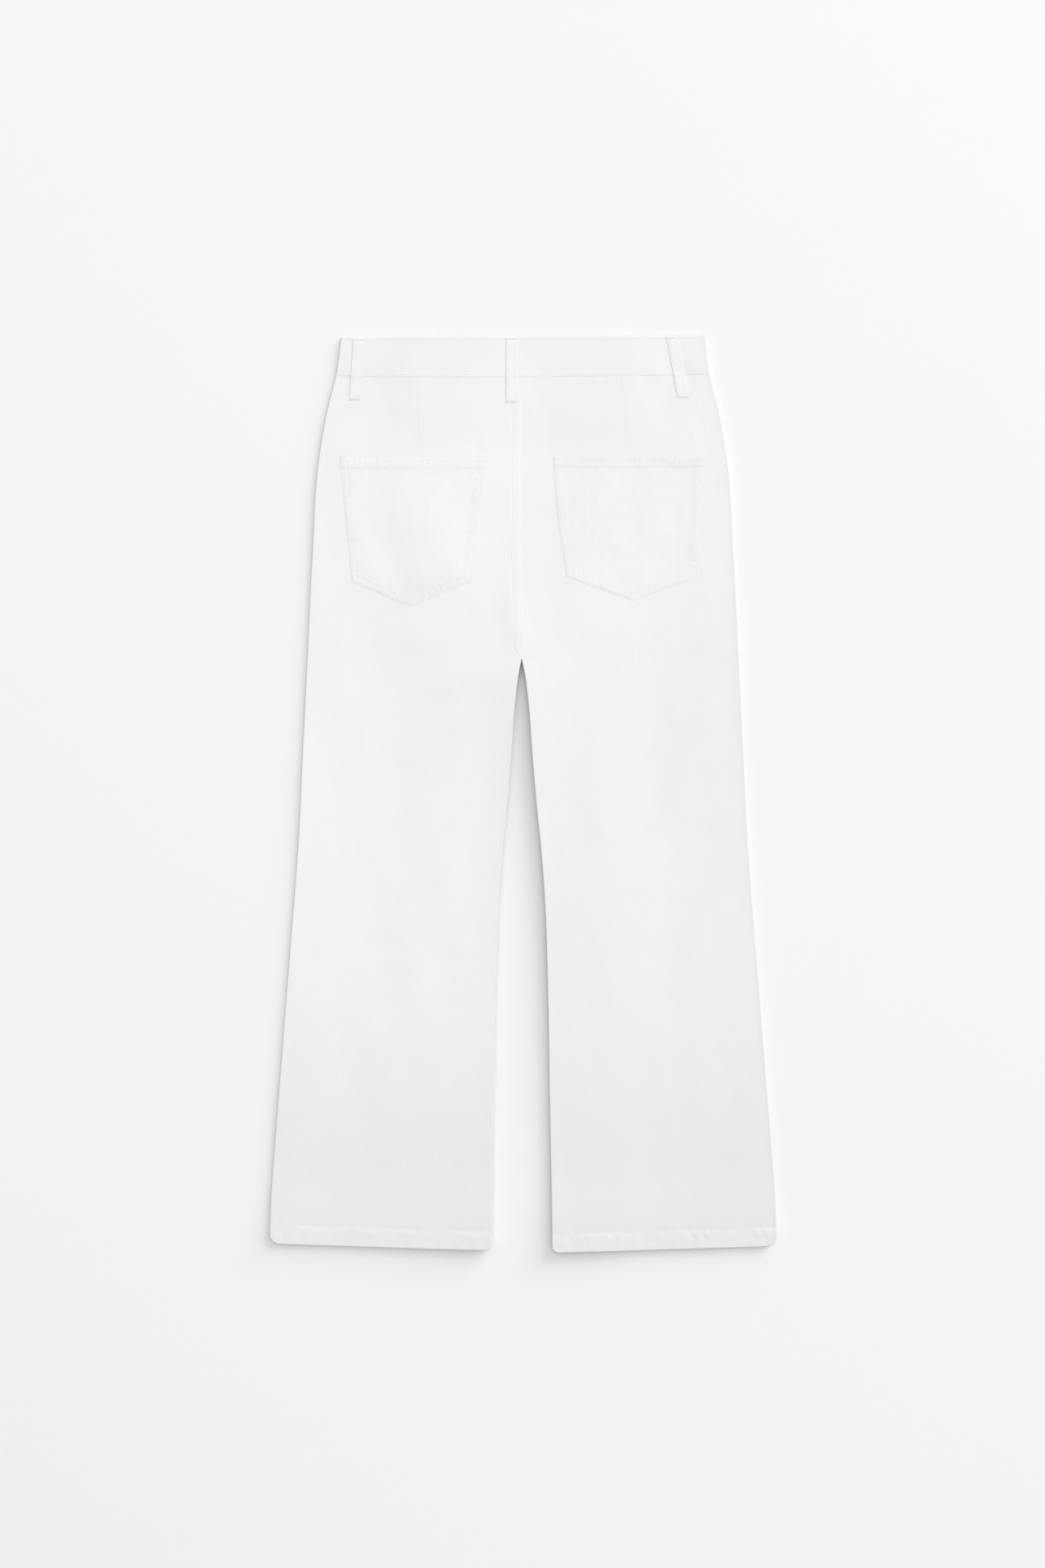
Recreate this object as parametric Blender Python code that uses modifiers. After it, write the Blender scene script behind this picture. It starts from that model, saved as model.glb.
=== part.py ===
"""Cropped flared jeans, laid flat on their front so that the back shows.

Metres, +Z up. The hems point to -Y and the waist to +Y, and the floor is z = 0. Left and right are the
wearer's, so the left leg lies at -X. The garment is laid out in two numbers: x across it, and down, the
distance below the waist's top edge. Every panel is a cloth wall between two grids of points, an outer and
an inner one, with a row for each station down the leg and columns that turn round the folds at its sides.
"""

import math
from typing import NamedTuple

import bmesh
import bpy
import numpy as np

# Cloth
WALL = 0.0012  # one layer of the denim, with its nap
BAND_WALL = 0.0016  # two layers of denim, pressed
SEAM = 0.0003  # what sewn pieces leave between them
FLOOR_GAP = 0.0015  # the fastened front waistband lies on its button and loops

# Lay of the two layers
LAID = 0.0038  # top of the back over the floor, midway across a leg
FOLD = 0.0027  # width of the turn at a side
SIDE_RISE, SIDE_REACH = 0.0022, 0.045  # the side seam stands higher, and the rise dies away inwards
WAIST_SIDE_RISE = 0.0010  # it is flatter at the waist, and is full from the hips down
INSEAM_RISE, INSEAM_REACH = 0.0026, 0.030
CURL, CURL_HEM = 0.0085, 0.0042  # the inseams' bulk stands both layers off the floor
CURL_REACH, CURL_TOE = 0.100, 0.3  # so far into the leg, and the share of it where the rise begins
HEM_LIFT, HEM_LIFT_REACH = 0.0016, 0.060  # the turned hems prop the back up
SEAM_UP = 0.0028  # height of the side seam and the inseam on their folds
LIFT_FROM, LIFT_TO = 0.070, 0.125  # down, where the lifted top comes down to the floor
LIFT_HALF, LIFT_SIDE = 0.112, 0.155  # across, where it does so at the sides
FLY_RISE = 0.0017  # the lapped fly lifts the back over it
FLY_LEFT, FLY_RIGHT, FLY_SLOPE = -0.046, 0.036, 0.040
FLY_FROM, FLY_TO = 0.046, 0.115

# Body
CROTCH = 0.336
CROTCH_TURN = 0.016  # below the crotch the inner folds form over this length
CROTCH_RISE_UP, CROTCH_RISE_LENGTH = 0.080, 0.110  # the inseam's rise starts above it
WAIST_FLAT_TO, HIP_REACH = 0.045, 0.110
CENTRE = -0.0013
WAIST_HALF = 0.194
WAIST_TILT = 0.0011
BAND_FOOT, BAND_SAG, BAND_TILT = 0.0425, 0.0031, 0.0006
HEM_DOWN = 0.9536
HEM_RISE = 0.0065  # the outer end of the hem lies this much higher
HEM_POWER = 1.2
HEM_CORNER = 0.007
HEM_BAND = 0.0205
HEM_TURNED = 0.0010  # the cloth turned up inside
HEM_PROUD = 0.0008  # and how much of it shows on the back
INSEAM_BULK = 0.0010  # the inseam's turned edges, inside the fold
HEM_ROWS = np.array([0.04, 0.4, 0.8, 1.0])  # shares of the hem's height; the first is its stepped top
DART_END, DART_DEPTH, DART_FADE = 0.118, 0.0005, 0.012
RIDGE_WIDTH, RIDGE_SLOPE, RIDGE_PROUD = 0.0085, 0.0020, 0.0008  # felled seat seam
RIDGE_START, RIDGE_END, RIDGE_FADE = 0.070, 0.328, 0.012  # from the centre loop's foot to the crotch

# Waistband
BAND_PROUD = 0.0005
BAND_ROLL, BAND_ROLL_DEPTH = 0.0012, 0.0007  # its top edge is rounded
BAND_ROWS = np.array([0.0, 0.012, 0.03, 0.35, 0.7, 1.0])
FRONT_PEEK = 0.0008  # the front band shows this much above the back one, on the right
LAP_END = 0.011  # the left end laps this far past the centre
UNDERLAP_END = -0.038
CLIMB, CLIMB_CLEAR = 0.017, 0.002  # the right end steps up over the left one, clear of it

# Trim
POCKET_WALL, POCKET_HEM, POCKET_HEM_PROUD = 0.0011, 0.0125, 0.0007
POCKET_EDGE, POCKET_EDGE_DROP, POCKET_STEP = 0.0022, 0.0005, 0.0008
POCKET_ROWS = np.array([0.0, 0.12, 0.28, 0.46, 0.64, 0.8, 0.92, 0.983, 1.0])
LOOP_WIDTH, LOOP_WALL, LOOP_BOW = 0.0125, 0.0013, 0.0006
LOOP_HELD, BAND_STEP = 0.2, 0.004
BACK_LOOP_ROWS = np.array([0.0, 0.05, 0.12, 0.25, 0.4, 0.5, 0.585, 0.65, 0.78, 0.9, 1.0])
FRONT_LOOP_WALL = 0.0012
BUTTON_RADIUS, BUTTON_HEAD, SHANK_RADIUS, EYE_RADIUS = 0.0085, 0.0012, 0.0022, 0.0029
BUTTON_DOWN = 0.0205

WHITE_DENIM, DENIM_ROUGHNESS = (0.86, 0.86, 0.845), 0.92
NICKEL = (0.60, 0.59, 0.56)

FOLD_STEPS = 5
INNER_STEPS = 4
TO_DART = np.array([0.19, 0.38, 0.6, 0.8, 1.0])  # columns of the level cloth, as shares of the way
BEYOND_DART = np.array([0.2, 0.4, 0.62, 0.82])
FRONT_LEVEL = np.array([0.09, 0.18, 0.36, 0.48, 0.61, 0.83])
LEFT, RIGHT = -1, 1


class Station(NamedTuple):
    """Half width of the garment at the side seam, some distance below the waist."""

    down: float
    side: float


class Opening(NamedTuple):
    """Half the space between the legs, some distance below the waist."""

    down: float
    half: float


class SeatSeam(NamedTuple):
    """Place of the seam between the back panels."""

    down: float
    x: float


class Crease(NamedTuple):
    """A soft ridge, or a trough where rise is negative: its middle, half length, half width, and turn."""

    x: float
    down: float
    length: float
    width: float
    turn: float  # degrees from across the garment towards down
    rise: float


class Pocket(NamedTuple):
    """A patch pocket with a pointed foot."""

    name: str
    top: float
    top_left: float
    top_right: float
    corner: float
    left: float
    right: float
    tip: float
    tip_x: float
    bow: float  # how far its left side swells


class Loop(NamedTuple):
    """A belt loop: its middle at the band's top and at its foot."""

    name: str
    top_x: float
    foot_x: float
    top: float
    foot: float


OUTLINE = [
    Station(down=-0.010, side=0.1880),
    Station(down=0.000, side=0.1890),
    Station(down=0.040, side=0.1940),
    Station(down=0.076, side=0.2030),
    Station(down=0.127, side=0.2120),
    Station(down=0.229, side=0.2190),
    Station(down=0.336, side=0.2242),
    Station(down=0.433, side=0.2290),
    Station(down=0.535, side=0.2340),
    Station(down=0.637, side=0.2420),
    Station(down=0.739, side=0.2500),
    Station(down=0.841, side=0.2580),
    Station(down=0.892, side=0.2618),
    Station(down=0.960, side=0.2640),
]

BETWEEN_LEGS = [
    Opening(down=0.336, half=0.0000),
    Opening(down=0.352, half=0.0030),
    Opening(down=0.382, half=0.0068),
    Opening(down=0.433, half=0.0106),
    Opening(down=0.484, half=0.0149),
    Opening(down=0.535, half=0.0200),
    Opening(down=0.586, half=0.0238),
    Opening(down=0.688, half=0.0272),
    Opening(down=0.790, half=0.0289),
    Opening(down=0.892, half=0.0308),
    Opening(down=0.960, half=0.0316),
]

SEAT_SEAM = [
    SeatSeam(down=0.040, x=-0.0110),
    SeatSeam(down=0.214, x=-0.0123),
    SeatSeam(down=0.276, x=-0.0098),
    SeatSeam(down=0.326, x=-0.0085),
    SeatSeam(down=0.336, x=CENTRE),
]

CREASES = [
    Crease(x=-0.134, down=0.205, length=0.070, width=0.020, turn=64, rise=-0.0006),
    Crease(x=-0.084, down=0.200, length=0.060, width=0.022, turn=64, rise=0.0006),
    Crease(x=0.150, down=0.205, length=0.055, width=0.022, turn=120, rise=-0.0004),
    Crease(x=0.080, down=0.215, length=0.060, width=0.024, turn=100, rise=0.0004),
    Crease(x=-0.060, down=0.315, length=0.060, width=0.020, turn=150, rise=-0.0004),
    Crease(x=0.048, down=0.330, length=0.060, width=0.020, turn=32, rise=-0.0003),
    Crease(x=-0.150, down=0.620, length=0.300, width=0.030, turn=92, rise=0.0005),
    Crease(x=-0.078, down=0.700, length=0.260, width=0.026, turn=88, rise=-0.0003),
    Crease(x=0.118, down=0.640, length=0.280, width=0.028, turn=90, rise=-0.0003),
    Crease(x=0.190, down=0.600, length=0.300, width=0.026, turn=86, rise=0.0005),
    Crease(x=-0.120, down=0.905, length=0.090, width=0.016, turn=5, rise=-0.0003),
]

POCKETS = [
    Pocket(
        name="pocket_back_left",
        top=0.1250,
        top_left=-0.1908,
        top_right=-0.0378,
        corner=0.2568,
        left=-0.1781,
        right=-0.0540,
        tip=0.2822,
        tip_x=-0.1169,
        bow=0.0,
    ),
    Pocket(
        name="pocket_back_right",
        top=0.1240,
        top_left=0.0319,
        top_right=0.1883,
        corner=0.2516,
        left=0.0455,
        right=0.1823,
        tip=0.2763,
        tip_x=0.1143,
        bow=0.0025,
    ),
]

BACK_LOOPS = [
    Loop(name="belt_loop_back_left", top_x=-0.1705, foot_x=-0.1745, top=0.0026, foot=0.0670),
    Loop(name="belt_loop_back_centre", top_x=-0.0115, foot_x=-0.0115, top=0.0016, foot=0.0695),
    Loop(name="belt_loop_back_right", top_x=0.1550, foot_x=0.1672, top=0.0006, foot=0.0648),
]

FRONT_LOOPS = [
    Loop(name="belt_loop_front_left", top_x=-0.098, foot_x=-0.098, top=0.0025, foot=0.0660),
    Loop(name="belt_loop_front_right", top_x=0.098, foot_x=0.098, top=0.0015, foot=0.0650),
]

DOWN_STATIONS = np.concatenate(
    [
        [0.054, 0.068, 0.084, 0.100, 0.120],
        np.linspace(0.145, 0.300, 7),
        [0.316, 0.326, CROTCH, 0.341, 0.346, CROTCH + CROTCH_TURN, 0.366],
        np.linspace(0.395, 0.895, 11),
    ]
)


def clear_scene():
    """Removes whatever the file holds."""
    for thing in list(bpy.data.objects):
        bpy.data.objects.remove(thing, do_unlink=True)


def collection(name):
    """A new collection in the scene."""
    made = bpy.data.collections.new(name)
    bpy.context.scene.collection.children.link(made)
    return made


def finish(name, colour, roughness, metallic=0.0):
    """A Principled material in one colour."""
    made = bpy.data.materials.new(name)
    made.use_nodes = True
    shader = made.node_tree.nodes["Principled BSDF"]
    shader.inputs["Base Color"].default_value = (*colour, 1.0)
    shader.inputs["Roughness"].default_value = roughness
    shader.inputs["Metallic"].default_value = metallic
    return made


def ease(t):
    """0 below 0, 1 above 1, and a smooth rise between."""
    t = np.clip(t, 0.0, 1.0)
    return t * t * (3.0 - 2.0 * t)


def ramp(t, toe):
    """0 below 0 and a straight rise to 1 at 1, after a parabola as long as the toe."""
    t = np.maximum(t, 0.0)
    return np.where(t < toe, t**2 / (2 * toe), t - toe / 2) / (1.0 - toe / 2)


def round_over(t):
    """1 at 0, falling round a quarter circle to 0 at 1 and beyond."""
    return 1.0 - np.sqrt(1.0 - np.clip(1.0 - t, 0.0, 1.0) ** 2)


def through(table, name, down):
    """A smooth curve through one column of a table, read at each distance down."""
    knots = np.array([row.down for row in table])
    values = np.array([getattr(row, name) for row in table])
    slopes = np.gradient(values, knots)
    down = np.clip(down, knots[0], knots[-1])
    at = np.clip(np.searchsorted(knots, down, side="right") - 1, 0, len(knots) - 2)
    span = knots[at + 1] - knots[at]
    t = (down - knots[at]) / span
    start = values[at] * (1 + 2 * t) * (1 - t) ** 2 + span * slopes[at] * t * (1 - t) ** 2
    end = values[at + 1] * t**2 * (3 - 2 * t) + span * slopes[at + 1] * t**2 * (t - 1)
    return start + end


def side_edge(down):
    """Half width of the garment."""
    return through(OUTLINE, "side", down)


def half_gap(down):
    """Half the space between the legs, and none above the crotch."""
    return np.where(down > CROTCH, through(BETWEEN_LEGS, "half", down), 0.0)


def centre_line(down, back):
    """Where the left and right panels meet, or the middle of the space between the legs."""
    knots = [row.down for row in SEAT_SEAM]
    return np.interp(down, knots, [row.x for row in SEAT_SEAM]) if back else CENTRE + 0.0 * down


def inner_edge(side, down, back):
    """The panel's edge at the centre seam or the inseam."""
    return centre_line(down, back) + side * (SEAM / 2 + half_gap(down))


def leg_turn(down):
    """How far the inner fold is formed: 0 down to the crotch, and 1 a little below it."""
    return ease((down - CROTCH) / CROTCH_TURN)


def inseam(x, down):
    """How much of the inseam there is at each distance down, and how far from it each point lies."""
    formed = ease((down - CROTCH + CROTCH_RISE_UP) / CROTCH_RISE_LENGTH)
    return formed, np.maximum(np.abs(x - CENTRE) - half_gap(down), 0.0)


def underside(x, down):
    """Height over the floor: the top lies on the button and the front loops, and the inseams curl up."""
    along = 1.0 - ease((down - LIFT_FROM) / (LIFT_TO - LIFT_FROM))
    across = 1.0 - ease((np.abs(x) - LIFT_HALF) / (LIFT_SIDE - LIFT_HALF))
    formed, distance = inseam(x, down)
    curl = CURL + (CURL_HEM - CURL) * ease((down - CROTCH) / (HEM_DOWN - CROTCH))
    return FLOOR_GAP * along * across + curl * formed * ramp(1.0 - distance / CURL_REACH, CURL_TOE)


def waist_top(x):
    """The waist's top edge, which tilts a little."""
    return WAIST_TILT * (1.0 - x / WAIST_HALF)


def waist_seam(x):
    """The seam under the waistband, which sags at the middle of the back."""
    share = x / WAIST_HALF
    return BAND_FOOT - BAND_SAG * share**2 - BAND_TILT * share


def hem_edge(share):
    """The hem's lower edge, from the inseam (share 0) to the side seam (share 1)."""
    return HEM_DOWN - HEM_RISE * share**HEM_POWER


def back_height(x, down):
    """Height of the back's outer face: level cloth, raised seams and hems, the lapped fly, the creases."""
    from_side = np.maximum(side_edge(down) - np.abs(x), 0.0)
    hips = ease((down - WAIST_FLAT_TO) / HIP_REACH)
    side_rise = WAIST_SIDE_RISE + (SIDE_RISE - WAIST_SIDE_RISE) * hips
    formed, from_inseam = inseam(x, down)
    height = LAID + underside(x, down) + side_rise * np.exp(-from_side / SIDE_REACH)
    height = height + INSEAM_RISE * formed * np.exp(-from_inseam / INSEAM_REACH)
    height = height + HEM_LIFT * ease(1.0 - (HEM_DOWN - HEM_BAND - down) / HEM_LIFT_REACH)
    fly = ease((x - FLY_LEFT + FLY_SLOPE) / FLY_SLOPE) * ease((FLY_RIGHT + FLY_SLOPE - x) / FLY_SLOPE)
    height = height + FLY_RISE * fly * (1.0 - ease((down - FLY_FROM) / (FLY_TO - FLY_FROM)))
    for crease in CREASES:
        turn = math.radians(crease.turn)
        along = (x - crease.x) * math.cos(turn) + (down - crease.down) * math.sin(turn)
        aside = (down - crease.down) * math.cos(turn) - (x - crease.x) * math.sin(turn)
        height = height + crease.rise * np.exp(-((along / crease.length) ** 2) - (aside / crease.width) ** 2)
    return height


def grid(x, down, height):
    """Points from three arrays of one shape."""
    return np.stack([x, -down, height], axis=-1)


def wall_between(name, outer, inner):
    """A closed object of white denim between two grids of points that share their rows and columns."""
    rows, columns = outer.shape[:2]
    index = np.arange(rows * columns).reshape(rows, columns)
    quads = np.stack([index[:-1, :-1], index[:-1, 1:], index[1:, 1:], index[1:, :-1]], axis=-1)
    quads = quads.reshape(-1, 4)
    border = np.concatenate([index[0, :-1], index[:-1, -1], index[-1, :0:-1], index[:0:-1, 0]])
    following = np.roll(border, -1)
    inside = rows * columns
    rim = np.stack([border, border + inside, following + inside, following], axis=-1)
    faces = np.concatenate([quads, quads[:, ::-1] + inside, rim])
    points = np.concatenate([outer.reshape(-1, 3), inner.reshape(-1, 3)])
    mesh = bpy.data.meshes.new(name)
    mesh.from_pydata(points.tolist(), [], faces.tolist())
    shape = bmesh.new()
    shape.from_mesh(mesh)
    bmesh.ops.recalc_face_normals(shape, faces=shape.faces)
    shape.to_mesh(mesh)
    shape.free()
    mesh.shade_smooth()
    mesh.set_sharp_from_angle(angle=math.radians(40))
    mesh.materials.append(finish(name, WHITE_DENIM, DENIM_ROUGHNESS))
    return bpy.data.objects.new(name, mesh)


def drawn_in(turn, wall):
    """How far inside its edge a fold's face lies, at an angle from the seam."""
    return wall + (FOLD - wall) * (1.0 - np.cos(turn))


class Panel:
    """One leg's back or front: a wall from the waist seam to the hem, turned at its folds.

    Its columns go from the centre seam or the inseam to the side seam: the inner fold, the two sides of
    the felled ridge, the level cloth and the side fold. Round a fold the cloth is a quarter of an ellipse:
    at an angle from the seam it lies FOLD * (1 - cos) inside the edge, and sin of the way from the seam's
    height to the level cloth's. The inner face is the same section, drawn in by the wall.
    """

    inner_turn = np.linspace(0.0, math.pi / 2, INNER_STEPS)
    side_turn = np.linspace(math.pi / 2, 0.0, FOLD_STEPS)
    ridge = np.array([RIDGE_WIDTH, RIDGE_WIDTH + RIDGE_SLOPE])
    inner_fold = slice(0, INNER_STEPS)
    side_fold = slice(-FOLD_STEPS, None)

    def __init__(self, side, back, dart_share):
        """Settles the panel's rows and columns; on the back a column of the level cloth follows the dart."""
        self.side = side
        self.back = back
        beyond = dart_share + (1.0 - dart_share) * BEYOND_DART
        self.level = np.concatenate([dart_share * TO_DART, beyond]) if back else FRONT_LEVEL
        self.dart = INNER_STEPS + len(self.ridge) + len(TO_DART) - 1
        self.down, self.hemmed = self.stations()
        self.turned = leg_turn(self.down)
        self.inner = side * inner_edge(side, self.down, back)
        self.outer = side_edge(self.down)

    def stations(self):
        """Each point's distance down, and which rows are in the turned hem."""
        share = np.concatenate([np.zeros(INNER_STEPS + len(self.ridge)), self.level, np.ones(FOLD_STEPS)])
        top = waist_seam(self.side * WAIST_HALF * share) + SEAM / 2
        fold = hem_edge(share) - HEM_BAND
        marks = (DOWN_STATIONS - top[0]) / (fold[0] - top[0])
        body = top + (fold - top) * np.concatenate([[0.0], marks, [1.0]])[:, None]
        open_cloth = np.full(len(self.level), HEM_CORNER)
        from_edge = np.concatenate(
            [drawn_in(self.inner_turn, 0.0), self.ridge, open_cloth, drawn_in(self.side_turn, 0.0)]
        )
        corner = HEM_CORNER * round_over(from_edge / HEM_CORNER)
        hem = fold + (HEM_BAND - corner) * HEM_ROWS[:, None]
        return np.concatenate([body, hem]), (np.arange(len(body) + len(hem)) >= len(body))[:, None]

    def relief(self):
        """What stands out of the back's face: the hem, the felled seat seam and, sunk, the dart."""
        rise = HEM_PROUD * self.hemmed + 0.0 * self.down
        dart_down = self.down[:, self.dart]
        rise[:, self.dart] -= DART_DEPTH * ease((DART_END - dart_down) / DART_FADE)
        if self.side == RIGHT:
            felled = np.arange(self.down.shape[1]) <= INNER_STEPS
            shown = ease((self.down - RIDGE_START) / RIDGE_FADE) * ease((RIDGE_END - self.down) / RIDGE_FADE)
            rise += RIDGE_PROUD * felled * shown
        return rise

    def face(self, wall):
        """The section at each station, drawn in by a wall that may vary, or at 0 the outer face."""
        wall = wall + 0.0 * self.down
        outside = not wall.any()
        swell = HEM_PROUD * self.hemmed * outside
        inner_wall, side_wall = wall[:, self.inner_fold], wall[:, self.side_fold]
        turned = self.turned[:, self.inner_fold]
        level_width = self.outer - self.inner - 2 * FOLD
        from_inner = np.zeros_like(self.down)
        from_inner[:, self.inner_fold] = drawn_in(self.inner_turn, inner_wall * turned)
        from_inner[:, self.inner_fold] -= swell * turned * np.cos(self.inner_turn)
        from_inner[:, INNER_STEPS : INNER_STEPS + len(self.ridge)] = self.ridge
        level = slice(INNER_STEPS + len(self.ridge), -FOLD_STEPS)
        from_inner[:, level] = FOLD + level_width[:, level] * self.level
        reach = self.inner + from_inner
        side_reach = swell * np.cos(self.side_turn) - drawn_in(self.side_turn, side_wall)
        reach[:, self.side_fold] = self.outer[:, self.side_fold] + side_reach
        x = self.side * reach

        to_seam = np.zeros_like(self.down)
        to_seam[:, self.inner_fold] = (1.0 - np.sin(self.inner_turn)) * turned
        to_seam[:, self.side_fold] = 1.0 - np.sin(self.side_turn)
        rest = underside(x, self.down)
        if self.back:
            level_height = back_height(x, self.down) - wall + (self.relief() if outside else 0.0)
            seam_height = rest + SEAM_UP + SEAM / 2
        else:
            level_height = rest + wall
            seam_height = rest + SEAM_UP - SEAM / 2
        return grid(x, self.down, level_height * (1.0 - to_seam) + seam_height * to_seam)

    def solid(self, name):
        """The panel as a closed object, thicker at the turned hem and along the inseam."""
        allowance = np.arange(self.down.shape[1]) < INNER_STEPS + len(self.ridge)
        bulk = INSEAM_BULK * self.turned * allowance
        wall = WALL + np.maximum(HEM_TURNED * self.hemmed, bulk)
        return wall_between(name, self.face(0.0), self.face(wall))


def rolled_edge(share, height, outside):
    """How much a face of the waistband sinks or rises towards its rolled top edge."""
    drawn = BAND_ROLL_DEPTH * round_over(share * height / BAND_ROLL)
    return drawn if outside else -drawn


def waistband_back(name):
    """The back's waistband, from side seam to side seam."""
    turn = np.linspace(0.0, math.pi / 2, FOLD_STEPS)
    level = np.linspace(-1.0, 1.0, 19)[1:-1]
    to_seam = np.concatenate([1 - np.sin(turn), np.zeros(len(level)), 1 - np.sin(turn[::-1])])
    guide = WAIST_HALF * np.concatenate([np.full(FOLD_STEPS, -1.0), level, np.ones(FOLD_STEPS)])
    top, foot = waist_top(guide), waist_seam(guide) - SEAM / 2
    down = top + (foot - top) * BAND_ROWS[:, None]
    edge = side_edge(down)

    def face(wall):
        """The band's section drawn in by its wall, from the left fold to the right one."""
        left = drawn_in(turn, wall) - edge[:, :FOLD_STEPS]
        right = edge[:, -FOLD_STEPS:] - drawn_in(turn[::-1], wall)
        x = np.concatenate([left, (edge[:, FOLD_STEPS:-FOLD_STEPS] - FOLD) * level, right], axis=1)
        sunk = rolled_edge(BAND_ROWS[:, None], foot - top, wall == 0.0)
        height = back_height(x, down) + BAND_PROUD - wall - sunk
        return grid(x, down, height * (1 - to_seam) + (SEAM_UP + SEAM / 2) * to_seam)

    return wall_between(name, face(0.0), face(BAND_WALL))


def waistband_front(name, side, end, climbs):
    """One side of the front waistband, from its side seam to its end at the fly."""
    turn = np.linspace(0.0, math.pi / 2, FOLD_STEPS)
    level = np.linspace(0.0, 1.0, 16)[1:]
    to_seam = np.concatenate([1 - np.sin(turn), np.zeros(len(level))])
    guide = side * WAIST_HALF * np.concatenate([np.ones(FOLD_STEPS), 1 - level])
    peek = FRONT_PEEK if side == RIGHT else 0.0
    top, foot = waist_top(guide) - peek, waist_seam(guide) - SEAM / 2
    down = top + (foot - top) * BAND_ROWS[:, None]
    edge = side * side_edge(down)
    start = edge[:, FOLD_STEPS:] - side * FOLD

    def face(wall):
        """The band's section drawn in by its wall; the underlap climbs over the other side's end."""
        folded = edge[:, :FOLD_STEPS] - side * drawn_in(turn, wall)
        x = np.concatenate([folded, start + (end - start) * level], axis=1)
        sunk = rolled_edge(BAND_ROWS[:, None], foot - top, wall == 0.0)
        over = (BAND_WALL + SEAM) * ease((LAP_END + CLIMB_CLEAR + CLIMB - x) / CLIMB) if climbs else 0.0
        height = underside(x, down) + over + wall + sunk
        return grid(x, down, height * (1 - to_seam) + (SEAM_UP - SEAM / 2) * to_seam)

    return wall_between(name, face(0.0), face(BAND_WALL))


def patch_pocket(pocket):
    """A pocket laid on the back: its points are the panel's, moved out, and its hem is thicker."""
    width = pocket.right - pocket.left
    tip_share = (pocket.tip_x - pocket.left) / width
    to_tip = np.linspace(0.0, 1.0, 6)
    edges = np.array([POCKET_EDGE, width - POCKET_EDGE]) / width
    across = np.sort(np.concatenate([to_tip * tip_share, tip_share + to_tip[1:] * (1 - tip_share), edges]))
    to_corner = np.minimum(across / tip_share, (1 - across) / (1 - tip_share))
    foot = pocket.corner + (pocket.tip - pocket.corner) * to_corner

    hem = pocket.top + POCKET_HEM
    hem_rows = np.array([pocket.top, pocket.top + POCKET_EDGE, hem])[:, None] + 0.0 * across
    body_rows = hem + POCKET_STEP + (foot - hem - POCKET_STEP) * POCKET_ROWS[:, None]
    down = np.concatenate([hem_rows, body_rows])

    fall = np.clip((down - pocket.top) / (pocket.corner - pocket.top), 0, 1)
    left = pocket.top_left + (pocket.left - pocket.top_left) * fall - pocket.bow * 4 * fall * (1 - fall)
    right = pocket.top_right + (pocket.right - pocket.top_right) * fall
    x = left + (right - left) * across

    border = np.ones_like(down)
    border[1:-1, 1:-1] = 0.0
    hemmed = (np.arange(len(down)) < len(hem_rows))[:, None]
    resting = back_height(x, down) + SEAM
    raised = resting + POCKET_WALL + POCKET_HEM_PROUD * hemmed - POCKET_EDGE_DROP * border
    return wall_between(pocket.name, grid(x, down, raised), grid(x, down, resting))


def loop_points(loop, share):
    """Points across and down a loop, which may lean, at shares of its length."""
    across = np.array([-0.5, 0.0, 0.5]) * LOOP_WIDTH
    down = loop.top + (loop.foot - loop.top) * share + 0.0 * across
    return loop.top_x + (loop.foot_x - loop.top_x) * share + across, down


def back_loop(loop):
    """A belt loop over the back waistband, held at its top and its foot and bowed between."""
    share = BACK_LOOP_ROWS[:, None]
    x, down = loop_points(loop, share)
    on_band = ease((waist_seam(x) + BAND_STEP - down) / BAND_STEP)
    bow = LOOP_BOW * ease(share / LOOP_HELD) * ease((1.0 - share) / LOOP_HELD)
    resting = back_height(x, down) + BAND_PROUD * on_band + SEAM + bow
    return wall_between(loop.name, grid(x, down, resting + LOOP_WALL), grid(x, down, resting))


def front_loop(loop):
    """A belt loop pressed flat between the front waistband and the floor."""
    x, down = loop_points(loop, np.linspace(0.0, 1.0, 6)[:, None])
    floor = np.zeros_like(x)
    return wall_between(loop.name, grid(x, down, floor), grid(x, down, floor + FRONT_LOOP_WALL))


def button(name):
    """The shank button: a turned head under the lapped end, and a shank up through the buttonhole."""
    shank_top = FLOOR_GAP + BAND_WALL
    profile = [
        (0.0, shank_top),
        (SHANK_RADIUS, shank_top),
        (SHANK_RADIUS, BUTTON_HEAD),
        (BUTTON_RADIUS - 0.0005, BUTTON_HEAD),
        (BUTTON_RADIUS, BUTTON_HEAD - 0.0004),
        (BUTTON_RADIUS, 0.0004),
        (BUTTON_RADIUS - 0.0005, 0.0),
        (0.0, 0.0),
    ]
    mesh = bpy.data.meshes.new(name)
    mesh.from_pydata([(r, 0.0, z) for r, z in profile], [(i, i + 1) for i in range(len(profile) - 1)], [])
    mesh.materials.append(finish(name, NICKEL, 0.34, 1.0))
    made = bpy.data.objects.new(name, mesh)
    turned = made.modifiers.new("Turned", "SCREW")
    turned.steps = turned.render_steps = 24
    turned.use_merge_vertices = True
    turned.merge_threshold = 0.00005
    made.location = (CENTRE, -BUTTON_DOWN, 0.0)
    return made


def buttonhole_cutter():
    """A round cutter for the eye of the buttonhole, whose slit lies closed."""
    mesh = bpy.data.meshes.new("buttonhole_eye")
    shape = bmesh.new()
    bmesh.ops.create_cone(
        shape, cap_ends=True, segments=20, radius1=EYE_RADIUS, radius2=EYE_RADIUS, depth=4 * BAND_WALL
    )
    shape.to_mesh(mesh)
    shape.free()
    cutter = bpy.data.objects.new("buttonhole_eye", mesh)
    cutter.location = (CENTRE, -BUTTON_DOWN, FLOOR_GAP + BAND_WALL / 2)
    cutter.hide_render = True
    cutter.display_type = "WIRE"
    return cutter


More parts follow.
